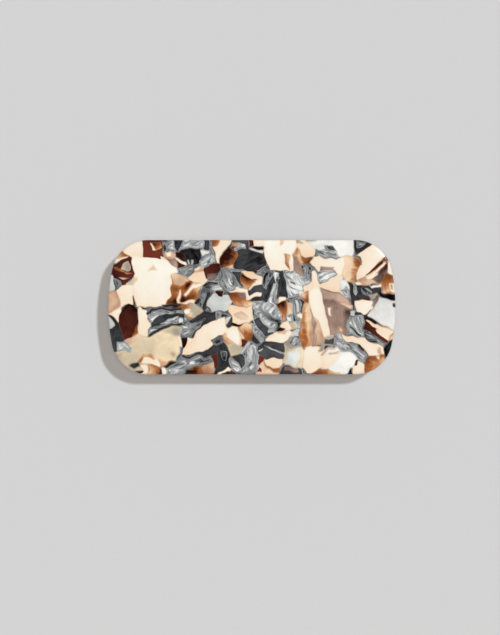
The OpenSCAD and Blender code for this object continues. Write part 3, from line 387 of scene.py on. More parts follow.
    ("charcoal", 10, -0.05, ((-0.7, 1.9), (0.6, 2.8), (3.2, 3.2), (4.2, 1), (2.2, 1.9), (0, 1.4))),
    ("amber", 260, -0.15, ((-3.2, 9.5), (-1.5, 9.3), (0.2, 8), (1.2, 7.3), (-0.5, 5.8), (-1.8, 5.4),
        (-3.1, 7))),
    ("mahogany", 20, 0, ((0, 10.4), (3, 10.6), (2.2, 9.4), (0.8, 9.6))),
    ("cream", 340, -0.2, ((-3.1, 10.2), (-0.6, 10.7), (0.8, 9.8), (2.9, 9), (2.6, 8.3), (0, 8.1),
        (-1.8, 9.3))),
    ("pearl", 220, -0.1, ((1, 9.6), (4.4, 12), (5, 11.4), (2, 9.4))),
    ("amber", 120, -0.05, ((14, 4.1), (17, 4.8), (17.4, 3), (16.7, 1), (15.1, 1.8))),
    # Right of the middle, lower half.
    ("pearl", 230, 0.2, ((0.2, 1.4), (3, 2), (5, 0.9), (7, 0.7), (8.2, -0.8), (8.7, -2), (8.5, -3.5),
        (7, -3.4), (4.2, -1.8), (2.5, -0.2), (0.2, -0.5))),
    ("amber", 270, -0.15, ((7, 1.1), (10.2, 2), (10.4, -0.5), (10, -3.2), (8.8, -4.6), (8.6, -2.2),
        (8, -0.6))),
    ("tan", 300, 0.25, ((10.2, 1.8), (11.8, 1.2), (12, -1.6), (10.5, -2.4), (10.3, 0))),
    ("pearl", 270, -0.05, ((10.4, 2.4), (14.2, 2.8), (15.3, 1.5), (15.2, -1.5), (14, -3), (13.4, -5.2),
        (10.8, -4.4), (11, -2.4), (12, -1.4), (11.9, 1))),
    ("charcoal", 270, 0.15, ((14.2, 2.8), (15.3, 1.6), (15.2, -1.6), (14.2, -1.7), (14.4, 0.6))),
    ("white", 90, -0.2, ((12.8, 2), (13.5, 2), (13.9, -1.2), (13.2, -2))),
    ("white", 60, 0.25, ((10.4, -2.6), (11.4, -3), (11.6, -4), (10.6, -4.2))),
    ("cream", 60, 0.25, ((13.1, -2.3), (15.1, -1.8), (14.8, -3.8), (13.2, -3))),
    ("pearl", 330, 0, ((13.4, -3.4), (14.6, -3.8), (14, -6.6), (12.6, -6), (12.8, -4.6))),
    ("smoke", 0, -0.3, ((10.6, -4.5), (12.9, -4.5), (13.4, -6.2), (11.7, -6.6))),
    ("cream", 330, 0.1, ((8, -5.2), (9.2, -4.4), (10.6, -4), (11.6, -6.3), (10.6, -6.8), (9, -6.2))),
    ("mahogany", 0, -0.3, ((7, -6.5), (8.3, -5.8), (9.8, -6.4), (9.3, -7.2), (7.4, -7))),
    ("pearl", 232, 0.1, ((0.8, -0.6), (2.1, -0.5), (5, -3.4), (7.2, -4.6), (7.1, -6.3), (5.3, -6.3),
        (3.8, -5.4), (2, -3.3), (0.8, -2))),
    ("charcoal", 232, 0.35, ((0.4, -3.6), (2, -3.1), (3.8, -5.4), (5, -6.4), (7, -6.6), (6.6, -7.9),
        (4, -8.3), (3, -8), (1, -5.2))),
    ("pearl", 10, 0.2, ((4.6, -6.7), (7.2, -6.6), (6.4, -7.3), (4.8, -7.3))),
    ("cream", 20, 0.25, ((4, -9), (7.4, -7.2), (10.5, -6.9), (12, -7.2), (10.9, -9), (9.4, -10.5),
        (6, -10.3), (4.3, -9.7))),
    ("tan", 20, 0.1, ((7.4, -7.2), (10.6, -6.9), (9.6, -7.8), (8, -7.7))),
    ("white", 240, -0.2, ((11.8, -7.2), (13.8, -6.2), (14, -8.4), (12.4, -8.6), (10.9, -8.8))),
    ("pearl", 245, 0.1, ((0.2, -5.2), (1.4, -5.6), (3.4, -8), (3.9, -10), (2.6, -10.8), (1.5, -9),
        (0.2, -7))),
    ("charcoal", 240, -0.1, ((0.2, -7.6), (1.4, -9), (2.3, -10.6), (1, -10.7), (0.1, -9.4))),
    ("charcoal", 350, 0.15, ((3.8, -9.8), (6, -10.4), (9.4, -10.6), (9.9, -13.5), (9.2, -15.5),
        (8, -15.2), (3.4, -15), (1.4, -13), (1.6, -11.6), (2.6, -10.8))),
    ("charcoal", 350, 0.1, ((4.2, -10.1), (9.4, -10.6), (9.7, -12.6), (7.4, -12.2))),
    ("pearl", 335, -0.2, ((3.5, -10.9), (6.4, -12.2), (9.7, -13.3), (9.6, -13.9), (6, -12.9),
        (3.8, -11.8))),
    ("charcoal", 340, 0.5, ((1.6, -12.4), (4, -11.8), (9.2, -13.9), (9, -14.6), (3.6, -14.8), (1.8, -14))),
    ("white", 20, 0.1, ((2.1, -12.8), (3.3, -12), (3.1, -12.5), (2.3, -13))),
    ("mahogany", 90, 0.3, ((1.9, -14.2), (3.6, -14.7), (3.5, -15.9), (2.2, -17.6), (1.7, -16.4))),
    ("tan", 60, 0.35, ((2, -17.2), (3.5, -15.8), (4.2, -17.8), (8, -19.3), (7, -20.3), (1.6, -20.3),
        (1.2, -19))),
    ("mahogany", 0, 0.4, ((1.8, -17.6), (2.7, -17.9), (2.8, -19), (1.4, -18.8))),
    ("amber", 90, -0.05, ((3.5, -15.6), (3.9, -17), (4.6, -17.9), (6.4, -18.8), (8.1, -18.8), (9, -16.4),
        (6, -17))),
    ("cream", 90, -0.1, ((3.7, -15.3), (5, -14.9), (8.9, -15.2), (9.1, -16.4), (8, -17.6), (6, -17.8),
        (4.4, -17))),
    ("pearl", 85, 0.05, ((-1.9, -12), (0.4, -10.4), (1.4, -11.5), (1.8, -14), (1.9, -16), (1.5, -18),
        (0, -19.4), (-3, -19.6), (-3.3, -18.8), (-1.8, -17), (-1.4, -14))),
    ("charcoal", 50, -0.1, ((-3.4, -13.4), (-0.4, -10.2), (0.3, -10.5), (-1.8, -12.2), (-2.8, -14))),
    ("pearl", 230, 0.25, ((-3.7, -13.1), (-0.8, -10), (-0.4, -10.6), (-3, -13.8))),
    ("charcoal", 60, -0.3, ((-1, -17.6), (-0.5, -17.3), (0.2, -16), (-0.1, -16), (-1, -17.2))),
    ("white", 60, 0.35, ((-0.6, -17.7), (0.4, -17), (0.2, -18), (-0.4, -18.2))),
    ("smoke", 30, 0.15, ((12, -11.6), (14.3, -11.3), (15.3, -13), (15.2, -17.6), (14.3, -18), (10, -17),
        (9.1, -16), (9.9, -13.8))),
    ("white", 30, 0.1, ((10.8, -13.4), (13.4, -11.6), (14.4, -13.6), (13, -17.4), (9.6, -16.2))),
    ("charcoal", 350, 0.05, ((9.2, -17.2), (10.6, -17.1), (14.1, -18), (15.1, -20), (8, -20),
        (8.2, -18.9))),
    ("plum", 350, -0.1, ((9.6, -17.6), (13.2, -17.9), (13.6, -18.8), (9.8, -18.6))),
    ("smoke", 240, -0.5, ((10.9, -9), (12.4, -8.3), (14.6, -9.7), (14.5, -11.3), (12, -11.6),
        (9.7, -13.5), (9.6, -11))),
    ("pearl", 240, 0.15, ((11.6, -9.4), (12.6, -8.4), (14.6, -9.7), (13, -11.2), (11.2, -11))),
    ("cream", 100, 0.2, ((16.8, 4.8), (18.4, 6), (20.2, 6), (21.2, 3), (21.2, -1), (22.5, -4),
        (23.1, -8), (22, -10.5), (21, -11.2), (20.5, -8), (19.3, -4.2), (17.5, -2.2), (16.6, 0.8))),
    ("amber", 0, 0.4, ((15.1, 0.9), (15.8, 1.2), (16.7, -0.4), (17.4, -3), (17.8, -6), (17.3, -9),
        (16.6, -12), (15, -11.5), (14, -8), (14.4, -5), (15.1, -2))),
    ("amber", 0, -0.05, ((15.2, 0.7), (15.8, 0.2), (15.6, -3), (16.2, -7), (16.6, -11.8), (15, -11.5),
        (14, -8), (14.5, -5))),
    ("tan", 90, 0.1, ((15.9, 1.3), (16.9, 0.6), (17.5, -2.6), (18.1, -6), (17.7, -11.6), (16.8, -11.4),
        (17.2, -8), (16.9, -4.4), (16.6, -1))),
    ("tan", 90, 0.1, ((17.4, -2.6), (19.3, -3.6), (20.5, -7), (20.9, -10.6), (19, -11.3), (17.5, -11.4),
        (18.2, -7.5))),
    ("plum", 70, 0.2, ((17.1, -0.6), (17.7, -2.6), (19, -4.4), (18.1, -7.4), (17.7, -5))),
    ("plum", 90, 0.35, ((17.5, -11.4), (18.2, -7.2), (19.1, -7.6), (18.8, -11.3))),
    ("cream", 80, 0.15, ((15.2, -12.6), (17, -11.4), (20, -11.5), (21.4, -12.8), (21, -15), (20.4, -18),
        (17, -19.4), (16, -19.2), (15, -17.5))),
    # Right end, upper half.
    ("cream", 60, -0.1, ((19.3, 6.4), (22.5, 8), (25, 9.3), (26.4, 8.9), (27, 5), (26.2, 3.8), (21, 5.2))),
    ("white", 60, 0.2, ((25.6, 8.2), (27.8, 7.6), (28.7, 5), (28.9, 2.8), (27.4, 2.8), (25.8, 4.2))),
    ("pearl", 290, 0.1, ((26, 5), (26.9, 5.4), (27.4, 6.2), (28.6, 4.4), (28.6, 3), (27.2, 3.4))),
    ("charcoal", 300, -0.15, ((29.9, 20), (31, 20), (33.4, 18.9), (35.2, 18.1), (32, 15.7), (30.7, 15),
        (30.1, 16.6), (29.7, 17.6))),
    ("pearl", 35, 0, ((30.4, 19.4), (33, 18.8), (33.2, 18.3), (31.4, 17.2), (30.5, 17.4))),
    ("cream", 35, 0.15, ((30.7, 15.2), (33, 16.6), (35.4, 18.4), (37.8, 17.5), (39.5, 15.5),
        (38.6, 13.6), (35.6, 11), (33.2, 9.2), (32.4, 8.3), (30.8, 7.9), (30.5, 9.8), (32.1, 12.5),
        (31.6, 13.9))),
    ("charcoal", 120, 0, ((30.8, 14.9), (31.5, 14.7), (32.1, 13.6), (32.1, 12.6), (31.5, 14))),
    ("cream", 100, 0.25, ((39.4, 13.6), (41.5, 13), (42.5, 8.6), (40.9, 8.8), (39.7, 9.8))),
    ("amber", 230, 0.1, ((33.1, 9), (38.9, 14.9), (39.9, 12.8), (38.6, 8.6), (38, 7), (35, 7.2))),
    ("mahogany", 230, 0.05, ((33.6, 9.6), (35.6, 11.6), (38.3, 13.7), (38, 12.8), (36, 10.8))),
    ("cream", 45, 0.3, ((33.4, 8.9), (36.2, 10.5), (38.2, 12.9), (38.9, 13.4), (39.1, 12.9), (37, 10.3),
        (34.6, 8.2), (33.7, 8.3))),
    ("plum", 230, -0.4, ((34.8, 8), (36.9, 10), (38.8, 12.6), (39.6, 12.4), (39.5, 11), (38.6, 8.6),
        (38, 7.1), (35.8, 7.3))),
    ("cream", 30, 0.35, ((34.1, 8.4), (36.7, 9.7), (36.6, 9.3), (34.5, 8.2))),
    ("amber", 280, 0, ((39.5, 9.8), (41, 9.3), (42.5, 8), (42.5, 4), (38, 4), (37.8, 6.4), (38.7, 8.6))),
    ("cream", 280, 0.1, ((40.2, 6.9), (42.5, 7), (42.5, 4.4), (40.3, 4.6), (40, 5.6))),
    ("amber", 280, 0.25, ((40.7, 6.4), (41.2, 6.4), (41.3, 5.2), (40.6, 5.2))),
    ("tan", 330, 0, ((30.8, 7.7), (32.5, 8.6), (34.7, 8.1), (36, 7), (34, 6.4), (31.5, 6.4))),
    ("cream", 330, 0.25, ((30.2, 7.3), (31.4, 7.5), (32, 6.6), (30.6, 6.5))),
    ("charcoal", 320, 0.05, ((28, 7.4), (30.2, 6.6), (32.5, 6.2), (34, 6.4), (35, 5.7), (37.6, 6.4),
        (37.6, 4), (35, 3.4), (32.6, 2.2), (30.2, 1.6), (29.8, -1), (28.9, 1), (28.9, 4))),
    ("pearl", 320, -0.15, ((31.7, 5.8), (33.6, 5.7), (35.1, 4.4), (34.6, 3.4), (32.4, 3.9))),
    ("pearl", 290, 0.2, ((29.6, 6.9), (30.4, 6.6), (31, 4), (30.2, 3.3), (29.7, 5))),
    ("smoke", 10, -0.35, ((34.2, 3.4), (36.6, 4), (37.2, 3), (35.2, 2.2))),
    ("mahogany", 20, -0.05, ((32.2, 2.4), (34, 3.2), (34.5, 2.2), (33, 1.8))),
    ("cream", 20, 0.4, ((34.8, 5.8), (37.8, 6.9), (37.9, 6.4), (35.1, 5.4))),
    ("charcoal", 350, -0.4, ((37.3, 4.1), (39.5, 3.8), (43, 3.8), (43, 1.6), (40.6, 1.9), (37.8, 3.1))),
    # Right end, lower half.
    ("plum", 250, -0.05, ((20.6, 5), (26, 3.4), (28.3, 2.2), (29.3, 0), (28.9, -1), (28.1, -2.5),
        (27.7, -5.5), (28.2, -8), (26.5, -8.2), (23, -8.2), (22.5, -5), (22, -2.4), (21.1, -0.6))),
    ("plum", 250, -0.25, ((27, -0.6), (28.9, -1), (28.1, -2.5), (27.7, -5.5), (28.2, -8), (26.9, -8),
        (27, -4))),
    ("plum", 330, 0.5, ((19.6, 6), (21.5, 5.2), (26, 3.9), (28.2, 2.2), (28.9, 0.4), (27.2, 0.9),
        (23.8, 2.3), (21, 2.4))),
    ("tan", 330, 0.25, ((25.4, 1.6), (29.3, 0.3), (29, -0.5), (26.4, 0.6))),
    ("cream", 90, 0.25, ((22.1, -0.2), (23, -0.1), (23.2, -2.6), (22.5, -2.2))),
    ("amber", 90, 0.3, ((24.9, -8), (25.1, -7), (25.7, -5.9), (26.3, -6.4), (26, -8))),
    ("white", 300, 0.15, ((33, -2.2), (35.3, -0.7), (36, 0.6), (37.4, 2.9), (40, 2.1), (43, 1.6),
        (43, -3), (41.6, -7), (38, -5.5), (34, -2.8))),
    ("cream", 10, 0.3, ((30, 1.7), (33, 2.1), (35.1, 1.8), (35.7, 1), (35.2, -0.5), (33.6, -2),
        (32.2, -2.2), (30.6, -1.6))),
    ("plum", 240, 0, ((35, 0.3), (36.5, 3.3), (37.2, 3.2), (35.6, 0.2))),
    ("charcoal", 0, 0.3, ((41, 1.4), (42.2, 1), (42.2, 0), (41.2, 0.2))),
    ("charcoal", 10, 0.15, ((29.8, -0.8), (30.6, -1.4), (31.6, -1.6), (33, -2.5), (31, -2.8),
        (29.8, -2.4))),
    ("pearl", 285, 0.15, ((28.6, -2.4), (30.3, -2.3), (32.8, -2.6), (32.8, -8.6), (31.7, -8.5),
        (28.2, -7.8), (27.8, -5.5), (28.2, -3.4))),
    ("white", 300, -0.35, ((29, -1.2), (30, -1), (30.2, -2.4), (28.8, -2.6))),
    ("charcoal", 315, 0.15, ((28.7, -5.2), (31.9, -8.2), (31.7, -8.6), (30.6, -7.8), (28.6, -5.8))),
    ("cream", 330, -0.05, ((33, -2.8), (34.2, -2.9), (38, -5.2), (41.6, -6.9), (41.2, -9.7),
        (39.8, -9.8), (36, -6.5), (33, -4))),
    ("charcoal", 330, -0.4, ((33.2, -2.4), (33.8, -2.6), (36.6, -4.4), (38, -5.2), (36, -5), (33.3, -3.3))),
    ("charcoal", 60, -0.2, ((32.9, -2.4), (34.8, -0.9), (34, -2), (33.3, -3.4), (33.2, -6.8),
        (32.7, -6.8))),
    ("amber", 330, 0.3, ((36.6, -4.6), (41, -6.8), (41.2, -7.2), (38, -5.6))),
    ("mahogany", 330, 0.0, ((33.1, -4), (36.3, -6), (38, -7.9), (40, -9.4), (39.4, -10.2), (38.6, -10.3),
        (35.6, -8.2), (33, -6.7))),
    ("cream", 325, 0.2, ((36.2, -6.5), (37.2, -7), (40, -8.9), (39.9, -9.4), (37.9, -8.6), (36.4, -7.3))),
    ("amber", 300, 0.35, ((40.3, -8), (41.8, -7.4), (41.6, -9.6), (40, -9.6))),
    ("pearl", 330, -0.05, ((32.6, -6.8), (35, -7.7), (38.6, -10.3), (38.8, -11.9), (36, -10.3),
        (33.5, -9.5), (32.7, -8.6))),
    ("charcoal", 340, 0, ((34, -9.9), (36.8, -10.6), (36.2, -9.9), (34.2, -9.5))),
    ("cream", 335, 0.1, ((26.2, -7.8), (28.5, -8.5), (33, -9), (34, -10), (38.4, -11.6), (38.6, -14),
        (36.5, -14.2), (34, -14), (32.8, -12.2), (31, -10.7), (27.5, -10.1), (26.3, -9.3))),
    ("tan", 90, 0.1, ((36.9, -11.8), (37.6, -12), (37.8, -13.8), (37, -13.5))),
    ("pearl", 320, 0.05, ((23.9, -11.5), (24, -9.8), (24.8, -8), (26, -9), (27.8, -10.4), (30.9, -10.8),
        (32.4, -12.2), (33.6, -14.2), (33, -16.2), (31, -15.2), (29, -13.3), (26.5, -12.8), (24.5, -12.3))),
    ("charcoal", 320, -0.1, ((27.6, -10.5), (29.6, -12), (29.1, -12.1), (27.6, -11.1))),
    ("white", 320, 0, ((26.8, -10.6), (28.8, -12.1), (28.2, -12), (26.8, -11))),
    ("charcoal", 320, -0.2, ((31, -10.8), (31.5, -10.9), (33, -12.8), (32.5, -12.9), (31, -11.4))),
    ("pearl", 300, 0.3, ((24.8, -7.8), (25.6, -7.6), (27, -9.2), (26, -9.6), (25, -9.3))),
    ("smoke", 20, -0.5, ((20.9, -9), (22, -8.1), (24, -8.2), (23.6, -11.1), (21.6, -11.2), (20.4, -13),
        (19.2, -13), (20.4, -11))),
    ("charcoal", 20, 0.4, ((21.2, -9.2), (24.2, -9.2), (23.8, -10.8), (21.2, -10.8))),
    ("white", 30, 0.4, ((20.2, -14), (22.5, -11.9), (25, -11.6), (26.5, -12.9), (29, -13.3),
        (31.1, -15.2), (29.8, -17.3), (28.8, -18), (27.6, -20), (20, -20), (20.4, -16.6))),
    ("cream", 40, 0.1, ((20.3, -14.2), (23, -13.6), (26, -13.6), (24.4, -16), (22, -18.4), (20.4, -17.4))),
    ("tan", 10, 0, ((20.4, -14), (21.2, -12.6), (23, -11.8), (25.4, -12), (22.4, -12.4), (20.9, -13.9))),
    ("tan", 5, -0.1, ((22.6, -13.5), (25, -12.9), (27, -12.7), (25, -13.3), (23, -13.7))),
    ("amber", 10, 0.05, ((17.6, -20), (18.2, -18.9), (20, -18), (22.4, -18.3), (25.8, -18.9), (26, -20))),
    ("charcoal", 60, -0.4, ((27.6, -20), (28.9, -17.9), (29.8, -20))),
    ("cream", 80, 0.1, ((29.6, -17.3), (31, -15.4), (32.3, -16.3), (33, -17), (33.4, -20), (29.8, -20))),
    ("mahogany", 80, 0, ((30.6, -15.4), (31.1, -15.4), (30.6, -17), (29.9, -17))),
    ("amber", 330, 0.05, ((32.8, -17), (33.4, -15), (34.6, -14.1), (36.5, -14.3), (39.5, -13.6),
        (39.5, -16), (37.5, -18.6), (33.2, -20))),
    ("cream", 0, 0.2, ((36.3, -14.6), (37.2, -14.4), (37.3, -15.2), (36.6, -15.3))),
    ("charcoal", 75, -0.4, ((40.2, -9.9), (41.8, -9.6), (41, -13), (39.4, -15.4), (38.6, -14.3),
        (38.6, -12), (39.3, -10.8))),
)

KINDS = ("charcoal", "cream", "white", "smoke", "tan", "amber", "mahogany", "plum", "pearl")
# How far the shade of each kind runs across one chip, from its deep end to its pale end.
GRADIENT = {"charcoal": 0.15, "cream": 0.2, "white": 0.25, "smoke": 0.35, "tan": 0.4, "amber": 0.7,
            "mahogany": 0.3, "plum": 0.3, "pearl": 0.15}
# How much paler or deeper each kind turns towards a chip's border, where it thins out.
RIM = {"charcoal": -0.1, "cream": -0.25, "white": -0.2, "smoke": 0.2, "tan": -0.1, "amber": 0.1,
       "mahogany": -0.1, "plum": -0.1, "pearl": -0.15}
# How soft each kind's borders are, as a share of the border's width.
SOFTNESS = {"charcoal": 0.12, "cream": 0.35, "white": 0.5, "smoke": 0.7, "tan": 0.7, "amber": 0.6,
            "mahogany": 0.25, "plum": 0.5, "pearl": 0.15}


def colour(name, description, hex_colour):
    """A colour setting whose default is an sRGB hex value."""
    return FloatVectorProperty(name=name, description=description, subtype="COLOR", size=3, min=0, max=1,
                               default=linear(hex_colour))


def length(name, description, default, low, high):
    """A length setting in metres, shown in the scene's own unit."""
    return FloatProperty(name=name, description=description, unit="LENGTH", precision=5,
                         default=default, min=low, max=high)


class PlateSettings(bpy.types.PropertyGroup):
    """Shape and polish of the acetate plate."""

    corner_radius: length("Corner radius", "Radius of the plate's corners", 10.8 * MM, 4 * MM, 14 * MM)
    end_radius: length("End radius", "Radius of the shallow arc along each end", 54 * MM, 30 * MM, 0.3)
    edge_radius: length("Edge radius", "Radius of the polished edge", 0.7 * MM, 0.2 * MM, 1.5 * MM)
    chip_wander: length("Chip wander", "How far the chips' borders stray from straight", 0.16 * MM, 0, MM)
    gloss_roughness: FloatProperty(name="Gloss roughness", description="Roughness of the polished acetate",
                                   default=0.09, min=0, max=1)
    points_round: IntProperty(name="Points round a quarter",
                              description="Mesh points along a quarter of the rim",
                              default=196, min=24, max=260)


class ChipColours(bpy.types.PropertyGroup):
    """Deep and pale end of each kind of chip in the marbled sheet."""

    charcoal_deep: colour("Charcoal, deep", "Darkest black chips", "010101")
    charcoal_pale: colour("Charcoal, pale", "Palest charcoal chips", "505156")
    cream_deep: colour("Cream, deep", "Warm side of the cream chips", "F8D3AD")
    cream_pale: colour("Cream, pale", "Pale side of the cream chips", "FFFCF0")
    white_deep: colour("White, deep", "Shaded side of the white chips", "C2C6C6")
    white_pale: colour("White, pale", "Bright side of the white chips", "FFFDF8")
    smoke_deep: colour("Smoke, deep", "Grey side of the translucent chips", "968F85")
    smoke_pale: colour("Smoke, pale", "Honey side of the translucent chips", "FCE6C0")
    tan_deep: colour("Tan, deep", "Brown side of the tan chips", "A86F4C")
    tan_pale: colour("Tan, pale", "Peach side of the tan chips", "FBDDBE")
    amber_deep: colour("Amber, deep", "Burnt side of the amber chips", "2E0F08")
    amber_middle: colour("Amber, middle", "Glowing middle of the amber chips", "AE6734")
    amber_pale: colour("Amber, pale", "Honey side of the amber chips", "F8D6AC")
    mahogany_deep: colour("Mahogany, deep", "Darkest red-brown chips", "160706")
    mahogany_pale: colour("Mahogany, pale", "Palest red-brown chips", "7A3526")
    plum_deep: colour("Plum, deep", "Darkest purple-brown chips", "3A1D20")
    plum_pale: colour("Plum, pale", "Palest purple-brown chips", "D0AF9E")
    pearl_deep: colour("Pearl, deep", "Troughs of the grey pearl", "1A1B1E")
    pearl_middle: colour("Pearl, middle", "Body of the grey pearl", "999C9E")
    pearl_pale: colour("Pearl, pale", "Glints of the grey pearl", "F4F5F5")


class ClaspSettings(bpy.types.PropertyGroup):
    """Finish and sheet sizes of the clasp's steel."""

    nickel: colour("Nickel", "Colour of the nickel plating", "CFCDC8")
    spring: colour("Spring steel", "Colour of the blued and oiled spring steel", "B9BCC2")
    # How much brighter the clasp's edges are coloured: partly worn plating, partly a painted highlight.
    edge_wear_and_highlight: FloatProperty(name="Edge wear", description="How bright the rubbed edges are", default=0.35,
                        min=0, max=1)
    bend_radius: length("Bend radius", "Outer radius of the catch spring's bends",
                        0.95 * MM, 0.7 * MM, 1.5 * MM)
    sheet_edge: length("Sheet edge", "Rounding of the springs' stamped edges",
                       0.1 * MM, 0.02 * MM, 0.15 * MM)


class StudioSettings(bpy.types.PropertyGroup):
    """Floor, lights and camera."""

    floor_colour: colour("Floor", "Colour of the paper floor", "D5D5D7")
    key_strength: FloatProperty(name="Key strength", description="Strength of the key light", default=1.6,
                                min=0, max=20)
    key_colour: colour("Key colour", "Colour of the key light", "F3F9FF")
    key_spread: FloatProperty(name="Key spread", description="Angle that the key light fills",
                              unit="ROTATION", default=math.radians(3.5), min=0, max=1)
    key_reach: length("Shadow reach", "How far to the left the plate's shadow falls", 4.1 * MM, 0, 0.05)
    key_drop: length("Shadow drop", "How far towards the viewer the plate's shadow falls",
                     3.3 * MM, 0, 0.05)
    fill_strength: FloatProperty(name="Fill strength", description="Strength of the soft light from above",
                                 default=1.0, min=0, max=20)
    fill_colour: colour("Fill colour", "Colour of the soft light from above", "FFF8EE")
    ambient: FloatProperty(name="Ambient", description="Strength of the light from all round", default=0.3,
                           min=0, max=5)
    ambient_colour: colour("Ambient colour", "Colour of the light from all round", "FFF9F0")
    view_width: length("View width", "Width of what the camera sees", 146 * MM, 0.05, 1)
    view_right: length("View right", "How far right of the plate's middle the view's middle lies",
                       -0.53 * MM, -0.1, 0.1)
    view_up: length("View up", "How far above the plate's middle the view's middle lies",
                    -3 * MM, -0.1, 0.1)
    camera_height: length("Camera height", "Height of the camera above the plate", 0.9, 0.2, 3)


class BarretteSettings(bpy.types.PropertyGroup):
    """Everything that a user may change."""

    plate: PointerProperty(type=PlateSettings, name="Plate", description="The face plate")
    chips: PointerProperty(type=ChipColours, name="Chips", description="Colours of the chips")
    clasp: PointerProperty(type=ClaspSettings, name="Clasp", description="The steel clasp")
    studio: PointerProperty(type=StudioSettings, name="Studio", description="Floor, lights and camera")


# Shapes.

# Rings across the plate's front and its back. The front's are 0.3 mm apart, so that its chips stay crisp.
FRONT_RINGS = 68
BACK_RINGS = 34


def surface(name, points, faces, material, smooth=True):
    """A mesh object from an array of points and a list of arrays of faces, one array for each face size."""
    mesh = bpy.data.meshes.new(name)
    mesh.from_pydata(points, [], [tuple(f) for block in faces for f in block.tolist()])
    mesh.polygons.foreach_set("use_smooth", np.full(len(mesh.polygons), smooth))
    mesh.materials.append(material)
    mesh.update()
    piece = bpy.data.objects.new(name, mesh)
    bpy.context.scene.collection.objects.link(piece)
    return piece


def loft_faces(count, around):
    """Quads between each ring and the next, for rings of equal length numbered one after the other."""
    ring = np.arange(count - 1)[:, None] * around
    here = np.arange(around)[None, :]
    after = (here + 1) % around
    quads = np.stack([ring + here, ring + after, ring + around + after, ring + around + here], -1)
    return quads.reshape(-1, 4)


def lofted(name, rings, material, smooth=True):
    """A closed solid through a stack of rings: quads join each ring to the next, a face caps each end."""
    count, around = rings.shape[:2]
    caps = np.stack([np.arange(around)[::-1], np.arange(around) + (count - 1) * around])
    return surface(name, rings.reshape(-1, 3), [loft_faces(count, around), caps], material, smooth)


def plate_quarter(inset, settings, points):
    """A quarter of the plate's outline moved inwards by inset, from the middle of its +X end to the middle
    of its +Y side: an end arc, a corner arc tangent to it and a straight side, at even steps of length."""
    half_l = (PLATE_HIGH.x - PLATE_LOW.x) / 2
    half_w = (PLATE_HIGH.y - PLATE_LOW.y) / 2
    end_r, corner_r = settings.end_radius, settings.corner_radius
    end_cx = half_l - end_r
    corner_cy = half_w - corner_r
    corner_cx = end_cx + math.sqrt((end_r - corner_r) ** 2 - corner_cy ** 2)
    meet = math.atan2(corner_cy, corner_cx - end_cx)
    end_length = end_r * meet
    corner_length = corner_r * (math.pi / 2 - meet)
    way = np.linspace(0, end_length + corner_length + corner_cx, points + 1)
    end_turn = np.minimum(way, end_length) / end_r
    corner_turn = meet + np.clip(way - end_length, 0, corner_length) / corner_r
    side = np.clip(way - end_length - corner_length, 0, None)
    on_end = way <= end_length
    x = np.where(on_end, end_cx + (end_r - inset) * np.cos(end_turn),
                 corner_cx + (corner_r - inset) * np.cos(corner_turn) - side)
    y = np.where(on_end, (end_r - inset) * np.sin(end_turn),
                 corner_cy + (corner_r - inset) * np.sin(corner_turn))
    x[-1] = 0
    y[0] = 0
    return np.stack([x, y], -1)


def plate_outline(inset, settings, points):
    """The whole outline: the quarter and its mirror images, end to end."""
    quarter = plate_quarter(inset, settings, points)
    turned = quarter[:0:-1] * (-1, 1)
    half = np.concatenate([quarter[:-1], turned])
    return np.concatenate([half, -half])


def plate_rings(settings, points, front_rings, back_rings):
    """Rings over the plate from the middle of its front to the middle of its back. On a face the rings
    shrink towards a line along X: point = line + (rim - line) * share. The edge between is a quarter round,
    a straight wall and a quarter round."""
    r = settings.edge_radius
    top, bottom = PLATE_HIGH.z, PLATE_LOW.z
    rim = plate_outline(r, settings, points)
    core = rim * ((PLATE_HIGH.x - PLATE_HIGH.y) / PLATE_HIGH.x, 0)

    def flat(share, z):
        return np.concatenate([core + (rim - core) * share, np.full((len(rim), 1), z)], -1)

    def edge(turn, z, sign):
        ring = plate_outline(r * (1 - math.sin(turn)), settings, points)
        height = z - sign * r * (1 - math.cos(turn))
        return np.concatenate([ring, np.full((len(rim), 1), height)], -1)

    turns = np.linspace(0, math.pi / 2, 8)[1:]
    wall = np.linspace(top - r, bottom + r, 9)[1:-1]
    rings = [flat(s, top) for s in np.linspace(0, 1, front_rings)[1:]]
    rings += [edge(t, top, 1) for t in turns]
    widest = plate_outline(0, settings, points)
    rings += [np.concatenate([widest, np.full((len(rim), 1), z)], -1) for z in wall]
    rings += [edge(t, bottom, -1) for t in turns[::-1]]
    rings += [flat(s, bottom) for s in np.linspace(1, 0, back_rings)[:-1]]
    return np.array(rings), core


def seamed_plate(name, settings, material):
    """The plate as one closed mesh: its rings, and on each face a seam along the middle line where the two
    halves of the innermost ring meet."""
    points = settings.points_round
    rings, core = plate_rings(settings, points, FRONT_RINGS, BACK_RINGS)
    count, around = rings.shape[:2]
    half = around // 2
    there = np.arange(around)
    mirrored = np.minimum(there, (around - there) % around)
    seam = np.concatenate([core[:half + 1], np.zeros((half + 1, 1))], -1)
    front_seam = seam + (0, 0, PLATE_HIGH.z)
    back_seam = seam + (0, 0, PLATE_LOW.z)
    front_start = count * around
    back_start = front_start + half + 1
    first = there
    last = (count - 1) * around + there
    following = np.roll(there, -1)
    front_fan = np.stack([front_start + mirrored, front_start + mirrored[following],
                          first[following], first], -1)
    back_fan = np.stack([last, last[following],
                         back_start + mirrored[following], back_start + mirrored], -1)
    body = loft_faces(count, around)
    faces = np.concatenate([front_fan, body, back_fan])[:, ::-1]
    everything = np.concatenate([rings.reshape(-1, 3), front_seam, back_seam])
    return surface(name, everything, [faces], material)


# The marbled sheet.

# Millimetres across which a chip's border fades, and over which its shade settles inside the border.
BORDER = 0.9
RIM_WIDTH = 0.7
# Size of the waves that the borders stray by, and of those in the level between the two layers of chips.
WANDER_SIZE = 2.6
LEVEL_SIZE = 7
# Depth of that level below the front, how far it rises and falls, and across how much it fades.
LEVEL_DEPTH = 1.7
LEVEL_SWING = 0.5
LEVEL_FADE = 0.5
